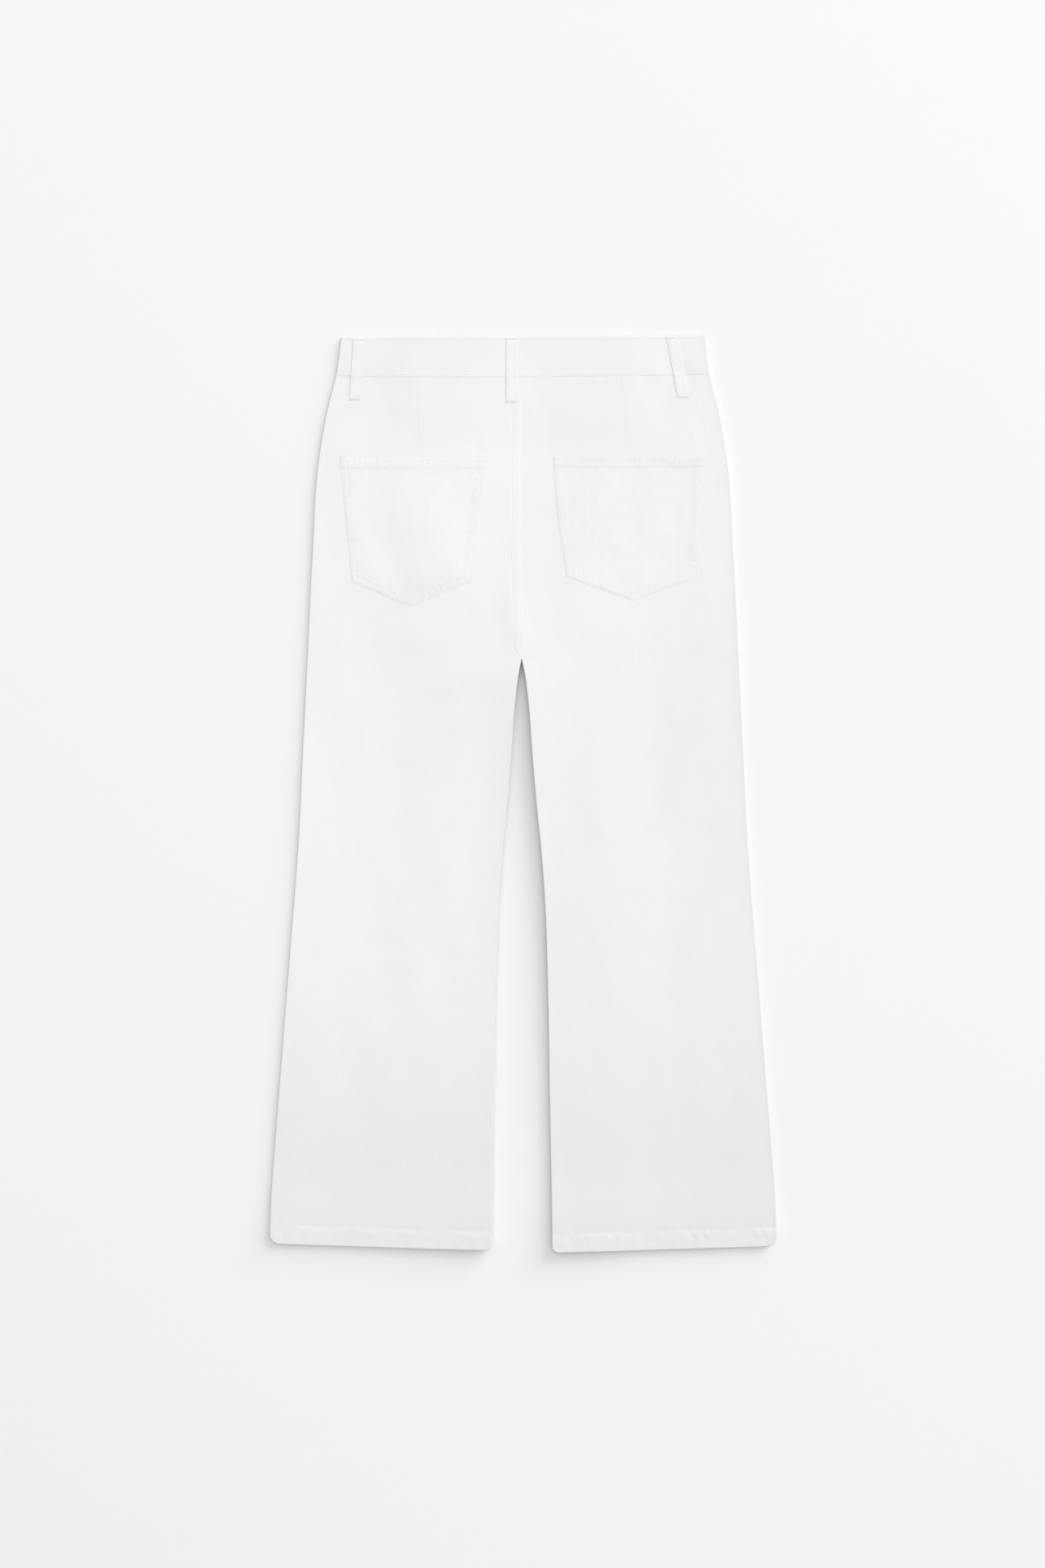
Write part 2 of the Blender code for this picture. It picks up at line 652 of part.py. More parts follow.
def build():
    """Makes every piece, and centres the garment over the origin."""
    clear_scene()
    jeans = collection("cropped_flared_jeans")
    cutters = collection("cutters")
    pieces = []
    for word, side, dart_share in (("left", LEFT, 0.51), ("right", RIGHT, 0.54)):
        pieces.append(Panel(side, True, dart_share).solid(f"back_{word}"))
        pieces.append(Panel(side, False, dart_share).solid(f"front_{word}"))
    pieces.append(waistband_back("waistband_back"))
    lapped = waistband_front("waistband_front_left", LEFT, LAP_END, False)
    pieces.append(lapped)
    pieces.append(waistband_front("waistband_front_right", RIGHT, UNDERLAP_END, True))
    pieces.extend(patch_pocket(pocket) for pocket in POCKETS)
    pieces.extend(back_loop(loop) for loop in BACK_LOOPS)
    pieces.extend(front_loop(loop) for loop in FRONT_LOOPS)
    pieces.append(button("button"))

    cutter = buttonhole_cutter()
    cutters.objects.link(cutter)
    eye = lapped.modifiers.new("Buttonhole", "BOOLEAN")
    eye.operation = "DIFFERENCE"
    eye.object = cutter

    for piece in pieces:
        jeans.objects.link(piece)
    centre(pieces, [cutter])


def centre(pieces, guides):
    """Moves everything so that the middle of the garment's box is over the origin."""
    corners = np.array([corner for piece in pieces if piece.type == "MESH" for corner in extent(piece)])
    middle = (corners.min(axis=0) + corners.max(axis=0)) / 2
    for thing in [*pieces, *guides]:
        thing.location.x -= middle[0]
        thing.location.y -= middle[1]


def extent(piece):
    """The lowest and highest corner of a piece's points, before any modifier."""
    points = np.array([vertex.co for vertex in piece.data.vertices]) + np.array(piece.location)
    return points.min(axis=0), points.max(axis=0)


build()
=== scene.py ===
"""Dresses the cropped flared jeans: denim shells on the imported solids, their stitching, and the studio.

Metres, +Z up, as the solids have it: the hems point to -Y and the waist to +Y, the back of the garment is
up, and the wearer's left leg lies at -X. The cloth is worked out in two numbers, x across the garment and
down, the distance below the waist's top edge. Every piece of cloth is a closed shell between two grids of
points, whose rows run down the leg and whose columns turn round the folds.
"""

import logging
import math
from collections.abc import Callable
from dataclasses import dataclass, field
from enum import Enum

import bpy
import numpy as np
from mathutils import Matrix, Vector


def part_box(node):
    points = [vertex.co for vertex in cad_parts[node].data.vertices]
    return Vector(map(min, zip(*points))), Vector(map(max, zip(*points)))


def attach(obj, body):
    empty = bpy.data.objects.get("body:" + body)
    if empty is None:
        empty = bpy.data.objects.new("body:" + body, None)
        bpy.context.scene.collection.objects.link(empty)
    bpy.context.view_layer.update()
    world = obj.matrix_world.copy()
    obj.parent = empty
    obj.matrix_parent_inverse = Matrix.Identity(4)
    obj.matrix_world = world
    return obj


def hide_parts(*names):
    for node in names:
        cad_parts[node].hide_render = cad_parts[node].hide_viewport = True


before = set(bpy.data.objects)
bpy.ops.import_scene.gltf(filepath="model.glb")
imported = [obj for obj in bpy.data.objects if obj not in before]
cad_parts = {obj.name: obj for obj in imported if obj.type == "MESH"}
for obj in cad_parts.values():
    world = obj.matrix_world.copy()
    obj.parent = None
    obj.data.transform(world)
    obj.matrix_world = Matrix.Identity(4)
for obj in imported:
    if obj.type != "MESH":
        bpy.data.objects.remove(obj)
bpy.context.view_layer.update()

Array = np.ndarray
log = logging.getLogger("jeans")


class Side(Enum):
    """The wearer's sides, by the sign of x."""

    LEFT = -1
    RIGHT = 1


class Face(Enum):
    """The two layers of each leg."""

    BACK = "back"
    FRONT = "front"


def ease(t: Array) -> Array:
    """0 below 0, 1 above 1, and 3t^2 - 2t^3 between."""
    t = np.clip(t, 0.0, 1.0)
    return t * t * (3.0 - 2.0 * t)


def ramp(t: Array, toe: float) -> Array:
    """0 below 0 and a straight rise to 1 at 1, after a parabola as long as the toe."""
    t = np.maximum(t, 0.0)
    return np.where(t < toe, t**2 / (2 * toe), t - toe / 2) / (1.0 - toe / 2)


def round_over(t: Array) -> Array:
    """1 at 0, falling round a quarter circle to 0 at 1 and beyond."""
    return 1.0 - np.sqrt(1.0 - np.clip(1.0 - t, 0.0, 1.0) ** 2)


def hill(t: Array) -> Array:
    """A bell, exp(-t^2)."""
    return np.exp(-(t**2))


def crowded(count: int, bias: float) -> Array:
    """Steps from 0 to 1 that a half cosine crowds towards both ends, by the bias."""
    even = np.linspace(0.0, 1.0, count)
    return bias * (0.5 - 0.5 * np.cos(math.pi * even)) + (1 - bias) * even


def rimmed(steps: Array) -> Array:
    """The same steps with the ones beside both ends drawn close to them, so that rims shade narrowly."""
    close = 0.3
    second, last_but_one = close * steps[1:2], 1 - close * (1 - steps[-2:-1])
    return np.concatenate([steps[:1], second, steps[2:-2], last_but_one, steps[-1:]])


def rumple(x: Array, y: Array, size: float, seed: int) -> Array:
    """Smooth unevenness, mostly between -1 and 1.

    The sum of nine sine waves, each of its own length about the size, direction and phase, over the
    height that their crests seldom pass.

    Args:
        x: Distances across, in metres.
        y: Distances along, in metres.
        size: The usual length of a wave.
        seed: Picks the lengths, directions and phases.

    Returns:
        An array of the shape of x and y.
    """
    waves, shortest, longest, crest = 9, 0.7, 1.6, 4.0
    pick = np.random.default_rng(seed)
    total = np.zeros(np.broadcast(x, y).shape)
    ranges = ((0, math.pi), (shortest, longest), (0, 2 * math.pi))
    for turn, stretch, phase in zip(*[pick.uniform(low, high, waves) for low, high in ranges]):
        along = x * math.cos(turn) + y * math.sin(turn)
        total = total + np.sin(2 * math.pi * along / (size * stretch) + phase)
    return total / crest


@dataclass(frozen=True)
class Stretch:
    """A stretch of some distance, along which a change eases in."""

    start: float
    length: float

    def past(self, distance: Array) -> Array:
        """0 before the stretch, 1 after it, and an ease curve along it."""
        return ease((distance - self.start) / self.length)

    def before(self, distance: Array) -> Array:
        """1 before the stretch, 0 after it, and an ease curve along it."""
        return 1.0 - self.past(distance)


@dataclass(frozen=True)
class Bell:
    """A rise at some distance, or a groove where it is negative, that falls off to both sides."""

    at: float
    width: float
    rise: float = 1.0

    def height(self, distance: Array) -> Array:
        """The rise times a bell about its place."""
        return self.rise * hill((distance - self.at) / self.width)


@dataclass(frozen=True)
class Fade:
    """What an edge adds beside it, less and less with the distance from it."""

    most: float
    length: float

    def left(self, distance: Array) -> Array:
        """The most times exp(-distance / length)."""
        return self.most * np.exp(-distance / self.length)


@dataclass(frozen=True)
class Uneven:
    """Smooth unevenness: its waves' height, usual length and seed, and how much of the way down counts."""

    rise: float
    size: float
    seed: int
    down_share: float = 1.0

    def height(self, x: Array, down: Array, number: int = 0) -> Array:
        """The rise times the waves, which a piece's own number picks anew."""
        return self.rise * rumple(x, down * self.down_share, self.size, self.seed + number)


@dataclass(frozen=True)
class Strength:
    """How strongly something shows: a usual value that varies smoothly within limits."""

    usual: float
    limits: tuple[float, float]
    uneven: Uneven

    def at(self, x: Array, down: Array, number: int = 0) -> Array:
        """The usual value plus the unevenness, kept within the limits."""
        return np.clip(self.usual + self.uneven.height(x, down, number), *self.limits)


@dataclass(frozen=True)
class Puckers:
    """Cloth gathered along a seam into ridges: their height, pitch and slant, and the bands they lie in."""

    rise: float
    pitch: float
    slant: float
    bands: tuple[Bell, ...]

    def height(self, along: Array, away: Array, wander: Array) -> Array:
        """A sine wave along the seam that slants with the distance away from it, times the bands' bells."""
        wave = (along + self.slant * away) / self.pitch + wander
        return self.rise * np.sin(2 * math.pi * wave) * sum(band.height(away) for band in self.bands)


@dataclass(frozen=True)
class Profile:
    """A smooth curve through a short table of distances down and values."""

    downs: tuple[float, ...]
    values: tuple[float, ...]

    def at(self, down: Array) -> Array:
        """Reads the curve.

        Between two rows it is the cubic that meets both, with the table's own slope at each.

        Args:
            down: Distances below the waist.

        Returns:
            The curve's value at each of them.
        """
        knots, values = np.array(self.downs), np.array(self.values)
        slopes = np.gradient(values, knots)
        down = np.clip(down, knots[0], knots[-1])
        row = np.clip(np.searchsorted(knots, down, side="right") - 1, 0, len(knots) - 2)
        span = knots[row + 1] - knots[row]
        t = (down - knots[row]) / span
        start = values[row] * (1 + 2 * t) * (1 - t) ** 2 + span * slopes[row] * t * (1 - t) ** 2
        end = values[row + 1] * t**2 * (3 - 2 * t) + span * slopes[row + 1] * t**2 * (t - 1)
        return start + end


@dataclass(frozen=True)
class Crease:
    """A soft ridge, or a trough where rise is negative, on a line that may bend and vary."""

    x: float
    down: float
    length: float
    width: float
    turn: float
    rise: float
    bend: float = 0.0

    def height(self, x: Array, down: Array) -> Array:
        """The crease's height: a bell along its line, which bends as a parabola, times a bell across it."""
        turn = math.radians(self.turn)
        along = (x - self.x) * math.cos(turn) + (down - self.down) * math.sin(turn)
        aside = (down - self.down) * math.cos(turn) - (x - self.x) * math.sin(turn)
        aside = aside - self.bend * (along / self.length) ** 2
        return self.rise * hill(along / self.length) * hill(aside / self.width)


@dataclass(frozen=True)
class PaintedPatch:
    """A soft patch of painted light, paler, or of painted shade, darker, where paler is negative."""

    x: float
    down: float
    width: float
    length: float
    paler: float

    def tone(self, x: Array, down: Array) -> Array:
        """What the patch adds to the tone: a bell across it times a bell along it."""
        return self.paler * hill((x - self.x) / self.width) * hill((down - self.down) / self.length)


@dataclass(frozen=True)
class Lay:
    """The laid garment's shape.

    It is that of the solids, but for a softer curl, a lower seam under the waistband and a shorter left
    hem. The outline, the opening between the legs and the paleness are curves down the garment, the
    paleness darker towards the hem. The seat's line is straight from point to point, and creases and
    lifts are soft folds of the back and the front.
    """

    outline: Profile = Profile(
        (-0.010, 0.0, 0.040, 0.076, 0.127, 0.229, 0.336, 0.433, 0.535, 0.637, 0.739, 0.841, 0.892, 0.960),
        (
            0.1880, 0.1890, 0.1940, 0.2030, 0.2120, 0.2190, 0.2242,
            0.2290, 0.2340, 0.2420, 0.2500, 0.2580, 0.2618, 0.2640,
        ),
    )  # fmt: skip
    opening: Profile = Profile(
        (0.336, 0.352, 0.382, 0.433, 0.484, 0.535, 0.586, 0.688, 0.790, 0.892, 0.960),
        (0.0, 0.0030, 0.0068, 0.0106, 0.0149, 0.0200, 0.0238, 0.0272, 0.0289, 0.0308, 0.0316),
    )
    # the cloth's paleness down the garment, darker towards the hem
    paleness_down: Profile = Profile(
        (0.0, 0.15, 0.30, 0.45, 0.60, 0.72, 0.84, 0.96),
        (0.863, 0.874, 0.868, 0.868, 0.873, 0.866, 0.832, 0.812),
    )
    # how much painted light on the left leg and painted shade on the right there is, down the garment
    uneven: Profile = Profile(
        (0.0, 0.15, 0.30, 0.45, 0.60, 0.72, 0.84, 0.96),
        (0.004, 0.006, 0.014, 0.024, 0.025, 0.021, 0.012, 0.010),
    )
    # patches of painted light, and of painted shade where paler is negative
    patches: tuple[PaintedPatch, ...] = (
        PaintedPatch(-0.010, 0.110, 0.045, 0.080, 0.032),
        PaintedPatch(0.008, 0.262, 0.060, 0.035, -0.014),
        PaintedPatch(-0.106, 0.266, 0.030, 0.018, -0.030),
        PaintedPatch(0.200, 0.550, 0.045, 0.200, 0.012),
        PaintedPatch(-0.235, 0.740, 0.045, 0.160, -0.018),
    )
    seat_downs: tuple[float, ...] = (0.040, 0.214, 0.276, 0.326, 0.336)
    seat_xs: tuple[float, ...] = (-0.0110, -0.0123, -0.0098, -0.0085, -0.0013)
    creases: tuple[Crease, ...] = (
        Crease(-0.134, 0.205, 0.070, 0.020, 64, -0.0006),
        Crease(-0.084, 0.200, 0.060, 0.022, 64, 0.0006),
        Crease(0.150, 0.205, 0.055, 0.022, 120, -0.0004),
        Crease(0.080, 0.215, 0.060, 0.024, 100, 0.0004),
        Crease(-0.060, 0.315, 0.060, 0.020, 150, -0.0004),
        Crease(0.048, 0.330, 0.060, 0.020, 32, -0.0003),
        Crease(-0.150, 0.620, 0.300, 0.030, 92, 0.0005),
        Crease(-0.078, 0.700, 0.260, 0.026, 88, -0.0003),
        Crease(0.118, 0.640, 0.280, 0.028, 90, -0.0003),
        Crease(0.190, 0.600, 0.300, 0.026, 86, 0.0002),
        Crease(-0.120, 0.905, 0.090, 0.016, 5, -0.0003),
        Crease(-0.092, 0.600, 0.330, 0.060, 90, 0.0018),
        Crease(0.092, 0.600, 0.330, 0.060, 90, 0.0022),
        Crease(0.1390, 0.036, 0.013, 0.0100, 60, 0.0009),
        Crease(0.1690, 0.040, 0.011, 0.0080, 60, -0.0007),
        Crease(-0.1835, 0.0465, 0.009, 0.0035, 8, -0.0005),
        Crease(-0.1790, 0.013, 0.012, 0.0042, 72, -0.0003),
        Crease(-0.1775, 0.029, 0.010, 0.0040, 110, 0.0002),
        Crease(-0.1560, 0.047, 0.012, 0.0042, 35, -0.0002),
        Crease(-0.1180, 0.060, 0.010, 0.0045, 100, -0.0002),
        Crease(-0.0480, 0.118, 0.014, 0.0060, 60, -0.0002),
    )
    lifts: tuple[Crease, ...] = (
        Crease(-0.064, 0.284, 0.070, 0.012, 155, 0.0004),
        Crease(-0.102, 0.242, 0.052, 0.010, 164, 0.0003),
        Crease(0.058, 0.292, 0.078, 0.013, 24, 0.0004),
        Crease(0.098, 0.258, 0.046, 0.009, 13, 0.0003),
        Crease(0.066, 0.226, 0.034, 0.008, 30, 0.0002),
        Crease(-0.122, 0.530, 0.170, 0.016, 88, 0.0004),
        Crease(-0.188, 0.770, 0.110, 0.013, 84, 0.0003),
        Crease(0.146, 0.590, 0.210, 0.018, 93, 0.0004),
        Crease(0.172, 0.810, 0.080, 0.011, 79, 0.0003),
        Crease(-0.090, 0.868, 0.060, 0.012, 12, 0.0003),
    )
    centre: float = -0.0013
    crotch: float = 0.336
    waist_half: float = 0.194
    waist_tilt: float = 0.0011
    band_depth: float = 0.0433
    band_sag: float = 0.0016
    band_tilt: float = 0.0012
    band_drawn: Bell = Bell(-1.0, 0.12, 0.0014)
    laid: float = 0.0038
    seam_up: float = 0.0028
    seam_gap: float = 0.0003
    hem_down: float = 0.9536
    hem_rise: float = 0.0065
    hem_curve: float = 1.2
    hem_band: float = 0.0205
    hem_bulk: float = 0.0022
    hem_thickens: float = 0.070
    left_short: float = 0.0024
    button_down: float = 0.0205
    # how softly the painted light on the left leg turns into painted shade on the right
    counter_shade_blend: float = 0.030
    side_bulk: Fade = Fade(0.0004, 0.045)
    side_thickens: Stretch = Stretch(0.045, 0.110)
    fold_forms: Stretch = Stretch(0.0, 0.016)
    inseam_forms: Stretch = Stretch(-0.150, 0.190)
    inseam_sharpens: Stretch = Stretch(-0.060, 0.110)
    inseam_blunt: float = 0.030
    inseam_bulk: Fade = Fade(0.0014, 0.035)
    fly_bulk: float = 0.0007
    fly_left: Stretch = Stretch(-0.100, 0.060)
    fly_right: Stretch = Stretch(0.030, 0.060)
    fly_foot: Stretch = Stretch(0.046, 0.069)
    floor_gap: float = 0.0015
    propped_down: Stretch = Stretch(0.070, 0.055)
    propped_across: Stretch = Stretch(0.112, 0.043)
    curl: float = 0.0090
    curl_lost: float = 0.0050
    curl_sinks: Stretch = Stretch(0.040, 0.500)
    curl_width: float = 0.150
    curl_toe: float = 0.3

    def tone(self, x: Array, down: Array) -> Array:
        """Paleness down the garment, painted light on the left leg and shade on the right, and the patches.
        """
        # painted light on the left leg and painted shade on the right offset the shade and light of the
        # curl's slopes
        tone = self.paleness_down.at(down) - self.uneven.at(down) * np.tanh((x - self.centre) / self.counter_shade_blend)
        return tone + sum(patch.tone(x, down) for patch in self.patches)

    def side_edge(self, down: Array) -> Array:
        """Half width of the garment."""
        return self.outline.at(down)

    def half_gap(self, down: Array) -> Array:
        """Half the space between the legs, and none above the crotch."""
        return np.where(down > self.crotch, self.opening.at(down), 0.0)

    def centre_line(self, down: Array, face: Face) -> Array:
        """Where the left and right panels meet, or the middle of the space between the legs."""
        if face is Face.FRONT:
            return self.centre + 0.0 * down
        return np.interp(down, self.seat_downs, self.seat_xs)

    def leg_turn(self, down: Array) -> Array:
        """How far the inner fold is formed: 0 down to the crotch, and 1 a little below it."""
        return self.fold_forms.past(down - self.crotch)

    def waist_top(self, x: Array) -> Array:
        """The waist's top edge, which tilts a little."""
        return self.waist_tilt * (1.0 - x / self.waist_half)

    def waist_seam(self, x: Array) -> Array:
        """The seam under the band: a parabola lowest at the middle, tilted, and drawn up at the left."""
        share = x / self.waist_half
        level = self.band_depth - self.band_sag * share**2 - self.band_tilt * share
        return level - self.band_drawn.height(share)

    def hem_edge(self, share: Array, side: Side) -> Array:
        """The hem's lower edge, from the inseam (share 0) to the side (share 1), higher on the left."""
        return self.hem_down - self.hem_rise * share**self.hem_curve - self.left_short * (side is Side.LEFT)

    def inseam(self, x: Array, down: Array) -> tuple[Array, Array]:
        """How much of the inseam there is at each distance down, and how far from it each point lies."""
        below = down - self.crotch
        distance = np.maximum(np.abs(x - self.centre) - self.half_gap(down), 0.0)
        blunt = self.inseam_blunt * self.inseam_sharpens.before(below)
        return self.inseam_forms.past(below), np.hypot(distance, blunt) - blunt

    def underside(self, x: Array, down: Array) -> Array:
        """Height over the floor.

        The top is propped on the button and the front loops. The inseams curl up: a ramp that climbs
        across each leg to its inseam, less high towards the hem.

        Args:
            x: Distances across.
            down: Distances below the waist.

        Returns:
            Heights over the floor.
        """
        propped = self.floor_gap * self.propped_down.before(down) * self.propped_across.before(np.abs(x))
        formed, distance = self.inseam(x, down)
        curl = self.curl - self.curl_lost * self.curl_sinks.past(down - self.crotch)
        return propped + curl * formed * ramp(1.0 - distance / self.curl_width, self.curl_toe)

    def back_height(self, x: Array, down: Array) -> Array:
        """Height of the back's outer face.

        The level cloth's height plus bulk that dies away from the side seams and the inseams, a rise
        towards the hems, the lapped fly under it, and the creases.

        Args:
            x: Distances across.
            down: Distances below the waist.

        Returns:
            Heights over the floor.
        """
        from_side = np.maximum(self.side_edge(down) - np.abs(x), 0.0)
        formed, from_inseam = self.inseam(x, down)
        height = self.laid + self.underside(x, down)
        height = height + self.side_bulk.left(from_side) * (1.0 + self.side_thickens.past(down))
        height = height + self.inseam_bulk.left(from_inseam) * formed
        above_hem = self.hem_down - self.hem_band - down
        height = height + self.hem_bulk * ease(1.0 - above_hem / self.hem_thickens)
        fly = self.fly_left.past(x) * self.fly_right.before(x) * self.fly_foot.before(down)
        height = height + self.fly_bulk * fly
        return height + sum(crease.height(x, down) for crease in self.creases)

    def place(self, x: Array, down: Array, height: Array) -> Array:
        """Points in the world: the button's solid says where the garment's own zero lies."""
        low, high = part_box("button")
        middle = (low + high) / 2
        across = x + middle.x - self.centre
        return np.stack([across, middle.y + self.button_down - down, height], axis=-1)


@dataclass(frozen=True)
class Denim:
    """Off-white cotton twill: yarns and diagonal in bump, mottled tone, nap, worn hems, painted light and
    shade.
    """

    cast: tuple[float, float, float] = (1.0, 1.0, 0.981)
    roughness: float = 0.87
    rougher: float = 0.10
    yarn: float = 0.00048
    diagonal: float = 0.00115
    diagonal_turn: float = 62
    mottle: float = 0.014
    clouds: tuple[float, float, float] = (38, 26, 1)
    flecks: tuple[float, float, float] = (900, 120, 1)
    slubs: tuple[float, float, float] = (420, 60, 1)
    puckers: tuple[float, float, float] = (70, 230, 1)
    weave_bump: tuple[float, float] = (0.00006, 0.55)
    slub_bump: tuple[float, float] = (0.00010, 0.5)
    pucker_bump: tuple[float, float] = (0.00055, 0.8)

    def material(self, name: str) -> bpy.types.Material:
        """Builds the cloth's nodes.

        Tone is the tone attribute times a mottle: a broad and a fine noise, the fine one drawn out along
        the warp. Bump adds the diagonal and the yarns, which are sine bands, slubs, and the puckers
        beside seams, which the seam attribute lets through.

        Args:
            name: The material's name.

        Returns:
            The material.
        """
        made = bpy.data.materials.new(name)
        nodes = Nodes(made)
        nodes.set({"Sheen Weight": 0.06, "Sheen Roughness": 0.45, "Specular IOR Level": 0.2})
        cloth = nodes.add("ShaderNodeUVMap", uv_map="Cloth").outputs["UV"]

        broad = nodes.noise(nodes.scaled(cloth, self.clouds), 3.0)
        fine = nodes.noise(nodes.scaled(cloth, self.flecks), 2.0)
        mix = nodes.blended(broad, 0.6, fine, 0.4)
        mottled = nodes.maths("ADD", nodes.maths("MULTIPLY", mix, 4 * self.mottle), 1 - 2 * self.mottle)
        tone = nodes.maths("MULTIPLY", mottled, nodes.attribute("tone"))
        nodes.link(nodes.mixed(tone, (0.0, 0.0, 0.0), self.cast), nodes.shader.inputs["Base Color"])
        rough = nodes.maths("ADD", nodes.maths("MULTIPLY", fine, self.rougher), self.roughness)
        nodes.link(rough, nodes.shader.inputs["Roughness"])

        twill = nodes.bands(nodes.turned(cloth, self.diagonal_turn), self.diagonal, 0.9)
        warp = nodes.bands(cloth, self.yarn, 0.6)
        slub = nodes.noise(nodes.scaled(cloth, self.slubs), 2.0)
        pucker = nodes.noise(nodes.scaled(cloth, self.puckers), 1.0)
        gathered = nodes.maths("MULTIPLY", pucker, nodes.attribute("seam"))
        bump = nodes.bump(nodes.blended(twill, 0.7, warp, 0.3), *self.weave_bump)
        bump = nodes.bump(slub, *self.slub_bump, bump)
        bump = nodes.bump(gathered, *self.pucker_bump, bump)
        nodes.link(bump, nodes.shader.inputs["Normal"])
        return made


@dataclass(frozen=True)
class Thread:
    """Spun cotton sewing thread, twisted, a little brighter than the cloth."""

    colour: tuple[float, float, float] = (0.91, 0.91, 0.895)
    shade: tuple[float, float, float] = (0.86, 0.86, 0.845)
    ply: float = 0.00045
    ply_turn: float = 40
    ply_bump: tuple[float, float] = (0.00006, 0.6)

    def material(self, name: str) -> bpy.types.Material:
        """Builds the thread's nodes: bands across the stitch for its twist, in bump and as painted shade.
        """
        made = bpy.data.materials.new(name)
        nodes = Nodes(made)
        nodes.set({"Sheen Weight": 0.2, "Roughness": 0.7})
        run = nodes.add("ShaderNodeUVMap", uv_map="Cloth").outputs["UV"]
        twist = nodes.bands(nodes.turned(run, self.ply_turn), self.ply, 0.2)
        # the twist's darker bands are painted shade between the plies
        nodes.link(nodes.mixed(twist, self.shade, self.colour), nodes.shader.inputs["Base Color"])
        nodes.link(nodes.bump(twist, *self.ply_bump), nodes.shader.inputs["Normal"])
        return made


@dataclass(frozen=True)
class Nickel:
    """Dull nickel plate: turned rings, fine scratches and smudged gloss."""

    colour: tuple[float, float, float] = (0.60, 0.59, 0.56)
    rubbed: tuple[float, float, float] = (0.72, 0.70, 0.66)
    rings: float = 900
    smudges: tuple[float, float, float] = (400, 400, 400)
    roughness: float = 0.22
    rougher: float = 0.25
    ring_bump: tuple[float, float] = (0.00002, 0.4)

    def material(self, name: str, middle: Vector) -> bpy.types.Material:
        """Builds the metal's nodes: rings about the middle in bump, noise in tone and gloss."""
        made = bpy.data.materials.new(name)
        nodes = Nodes(made)
        nodes.set({"Metallic": 1.0})
        place = nodes.add("ShaderNodeTexCoord").outputs["Object"]
        about = nodes.add("ShaderNodeMapping")
        about.inputs["Location"].default_value = (-middle.x, -middle.y, -middle.z)
        nodes.link(place, about.inputs["Vector"])
        rings = nodes.add("ShaderNodeTexWave", wave_type="RINGS", rings_direction="Z")
        rings.inputs["Scale"].default_value = self.rings
        rings.inputs["Distortion"].default_value = 1.0
        nodes.link(about.outputs["Vector"], rings.inputs["Vector"])
        smudge = nodes.noise(nodes.scaled(place, self.smudges), 3.0)
        nodes.link(nodes.mixed(smudge, self.colour, self.rubbed), nodes.shader.inputs["Base Color"])
        gloss = nodes.maths("ADD", nodes.maths("MULTIPLY", smudge, self.rougher), self.roughness)
        nodes.link(gloss, nodes.shader.inputs["Roughness"])
        nodes.link(nodes.bump(rings.outputs["Fac"], *self.ring_bump), nodes.shader.inputs["Normal"])
        return made


